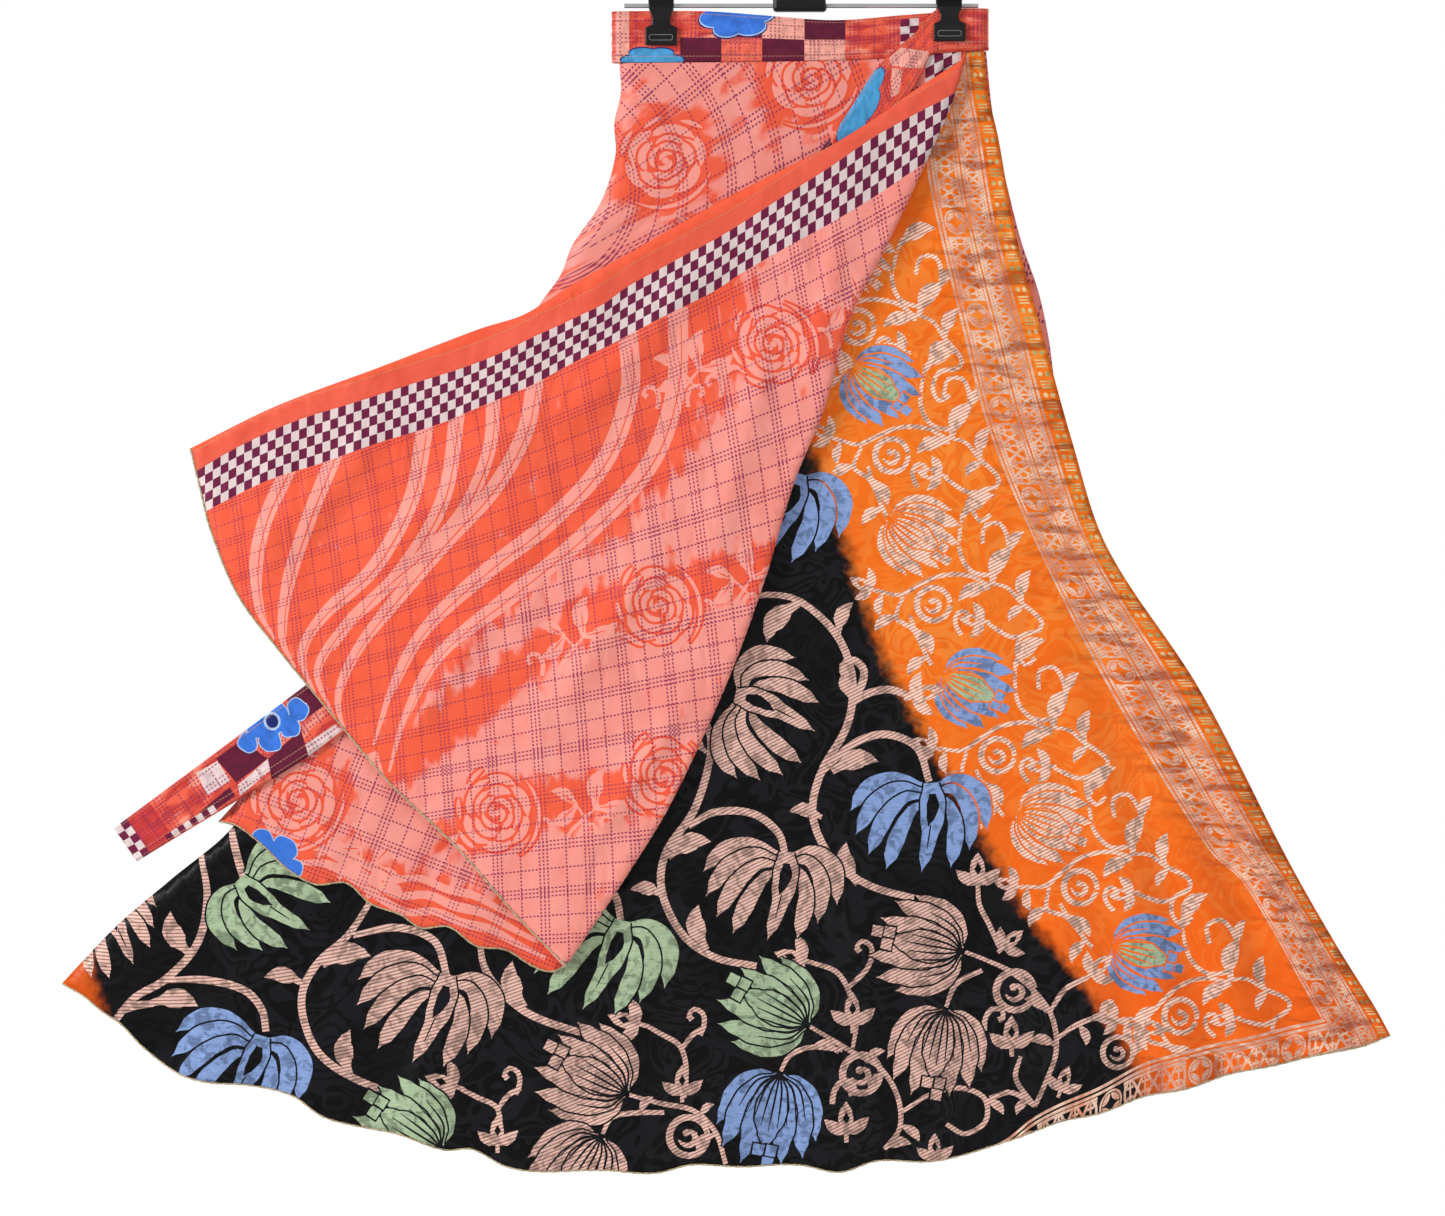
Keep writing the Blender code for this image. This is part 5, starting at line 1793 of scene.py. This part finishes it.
# %% The hems
def thread_finish(name, dark, light):
    finish = Finish(name)
    wound = finish.noise(finish.object_place(), 900.0, 1.0)
    colour = finish.mix(wound.rises(0.35, 0.65), dark, light)
    return finish.wear(colour, wound * 0.1 + 0.7, finish.bump(wound, 0.0003))


hem_thread = thread_finish("hem_thread", rgb(150, 128, 96), rgb(206, 186, 150))


def edging(name, points, place, radius, slot):
    curve = bpy.data.curves.new(name, "CURVE")
    curve.dimensions = "3D"
    line = curve.splines.new("POLY")
    line.points.add(len(points) - 1)
    for i, (point, at) in enumerate(zip(line.points, points)):
        point.co = (*place(at), 1.0)
        point.radius = 1.0 + 0.25 * math.sin(2.1 * i)
    curve.bevel_depth = radius * MM
    curve.bevel_resolution = 1
    curve.use_fill_caps = True
    piece = in_scene(name, curve)
    curve.materials.append(hem_thread)
    declare(piece, slot)
    return piece


HEMS = [  # sheet, line, step between its points, place, radius of the cord, slot
    ("under_front", UNDER_HEM, 3.0, under_front_place, 0.7, "under_cloth"),
    ("under_back", UNDER_BACK_HEM, 4.0, under_back_place, 0.7, "under_cloth"),
    ("outer_front", OUTER_HEM, 3.0, outer_front_place, 0.8, "outer_cloth"),
    ("outer_flap", FLAP_HEM, 3.0, lambda at: spot(at, flap_depth(at)), 0.9, "outer_cloth"),
    ("outer_back", OUTER_BACK_HEM, 4.0, outer_back_place, 0.8, "outer_cloth"),
]
for sheet, line, step, place, radius, slot in HEMS:
    edging(sheet + "_hem", Outline(line).sampled(step), place, radius, slot)

# %% [markdown]
# ## The hanger
#
# The rod and hook are chromed wire, so they are a smooth metal with faint handling marks. The
# block and the clips are glossy black plastic, and each clip has a rounded rectangle moulded on
# its front jaw.

# %% Chrome and black plastic
def chrome_finish():
    finish = Finish("chrome_wire", Metallic=0.8)
    marks = finish.noise(finish.object_place(), 60.0, 5.0)
    colour = finish.mix(marks, rgb(226, 227, 230), rgb(250, 250, 252))
    return finish.wear(colour, marks * 0.14 + 0.08)


def plastic_finish(name, dark, light):
    finish = Finish(name, Specular_IOR_Level=0.35)
    place = finish.object_place()
    grain = finish.noise(place, 1400.0, 2.0)
    clouds = finish.noise(place, 90.0, 3.0)
    colour = finish.mix(clouds, dark, light)
    return finish.wear(colour, clouds * 0.16 + 0.24, finish.bump(grain, 0.00008))


chrome = chrome_finish()
plastic = plastic_finish("black_plastic", rgb(5, 5, 6), rgb(16, 16, 18))
# Painted highlight: the rectangles on the clips are a lighter grey than the black plastic, for the
# gloss along their raised edges.
painted_highlight_plastic = plastic_finish("plastic_painted_highlight", rgb(96, 96, 100), rgb(150, 150, 154))
for name in ("hanger_hook", "hanger_rod"):
    nodes[name].material_slots[0].material = chrome
for name in ("hanger_block", "clip_left", "clip_right"):
    nodes[name].material_slots[0].material = plastic
print("hanger materials set")

# %% The rectangles on the clips
CORNER, LINE_WIDE, STANDS_UP = 1.8, 0.45, 0.5


def clip_frame(name, left, right, top, bottom, y):
    """A thin rounded rectangle that stands up from a jaw's face, which lies at y."""
    form = bmesh.new()
    bmesh.ops.create_grid(form, x_segments=1, y_segments=1, size=0.5)
    bmesh.ops.scale(form, vec=((right - left) * MM, (top - bottom) * MM, 1.0), verts=form.verts)
    bmesh.ops.bevel(form, geom=form.verts[:], offset=CORNER * MM, affect="VERTICES", segments=4,
                    profile=0.5, material=-1)
    middle = form.faces[:]
    bmesh.ops.inset_region(form, faces=middle, thickness=LINE_WIDE * MM, use_boundary=True)
    bmesh.ops.delete(form, geom=middle, context="FACES")
    bmesh.ops.rotate(form, matrix=Matrix.Rotation(math.radians(90), 3, "X"), verts=form.verts)
    raised = bmesh.ops.extrude_face_region(form, geom=form.faces[:])["geom"]
    moved = [item for item in raised if isinstance(item, bmesh.types.BMVert)]
    bmesh.ops.translate(form, vec=(0.0, -STANDS_UP * MM, 0.0), verts=moved)
    bmesh.ops.recalc_face_normals(form, faces=form.faces)
    place = Vector(((left + right) / 2 * MM, y * MM, (top + bottom) / 2 * MM))
    bmesh.ops.translate(form, vec=place, verts=form.verts)
    piece = mesh_object(name, form)
    # The frame's lighter grey is a painted highlight.
    piece.data.materials.append(painted_highlight_plastic)
    declare(piece, "hanger_plastic")


CLIP_FRAMES = [  # name, its clip, from x, to x, y of the jaw's face
    ("clip_left_frame", "clip_left", -118.0, -99.3, -6.8),
    ("clip_right_frame", "clip_right", 107.4, 126.0, -8.7),
]
FRAME_TOP, FRAME_LOW = 8.3, 3.6  # above the clip's lower end
for name, node, left, right, face in CLIP_FRAMES:
    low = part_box(node)[0][2] / MM
    clip_frame(name, left, right, low + FRAME_TOP, low + FRAME_LOW, face)
print("clip frames added")

# %% [markdown]
# ## The tie's length
#
# The whole length of the tie, in metres. The report gives the whole cut.

# %% The sheets
STRAP_LONG * MM
print("seven sheets declared")

# %% [markdown]
# ## Light and camera
#
# The photograph is a bright studio picture with no horizon and hardly any shadow. A white world
# lights everything evenly, and one large soft light from the upper left models the folds. A weak
# one fills the shadows from the right, and another lights the back.

# %% Floor, light and camera
scene = bpy.context.scene
scene.view_settings.view_transform = "Standard"

form = bmesh.new()
bmesh.ops.create_circle(form, cap_ends=True, segments=96, radius=0.9)
bmesh.ops.translate(form, vec=(-0.06, 0.0, -1.3), verts=form.verts)
floor = mesh_object("floor", form)
finish = Finish("floor_paint")
clouds = finish.noise(finish.object_place(), 3.0)
paint = finish.wear(finish.mix(clouds, rgb(236, 236, 234), rgb(244, 244, 242)), 0.9)
floor.data.materials.append(paint)

world = bpy.data.worlds.new("studio")
scene.world = world
world.use_nodes = True
sky = Graph(world.node_tree)
direction = sky.node("ShaderNodeTexCoord", (), (), "Generated")
height = abs(sky.node("ShaderNodeSeparateXYZ", (), {0: direction}, "Z"))
brightness = sky.node("ShaderNodeMapRange", (), {
    "Value": height, "From Min": 0.2, "From Max": 0.7, "To Min": 0.52, "To Max": 0.3})
seen = sky.node("ShaderNodeLightPath", (), (), "Is Camera Ray")
background = sky.tree.nodes["Background"]
background.inputs["Color"].default_value = (1.0, 1.0, 1.0, 1.0)
sky.feed(background.inputs["Strength"], seen | brightness)

# the middle of what the photograph shows, the camera's distance, and how wide the picture is
MIDDLE, DISTANCE, SHOWN_WIDE = Vector((-0.0605, -0.01, -0.5811)), 3.2, 1.1271


def soft_light(name, place, size, power):
    lamp = bpy.data.lights.new(name, "AREA")
    lamp.shape, lamp.size, lamp.energy = "SQUARE", size, power
    shown = in_scene(name, lamp)
    shown.location = place
    shown.rotation_euler = (MIDDLE - Vector(place)).to_track_quat("-Z", "Y").to_euler()


soft_light("key", (-2.4, -1.35, 0.45), 0.9, 66.0)
soft_light("fill", (1.5, -2.6, -0.2), 1.6, 12.0)
soft_light("back_key", (2.0, 1.9, 0.5), 1.0, 50.0)

lens = bpy.data.cameras.new("camera")
lens.sensor_width = 36.0
lens.lens = lens.sensor_width * DISTANCE / SHOWN_WIDE
camera = in_scene("camera", lens)
camera.location = MIDDLE + Vector((0.0, -DISTANCE, 0.0))
camera.rotation_euler = (math.radians(90), 0.0, 0.0)
scene.camera = camera
print("camera lens", round(lens.lens, 1), "mm")
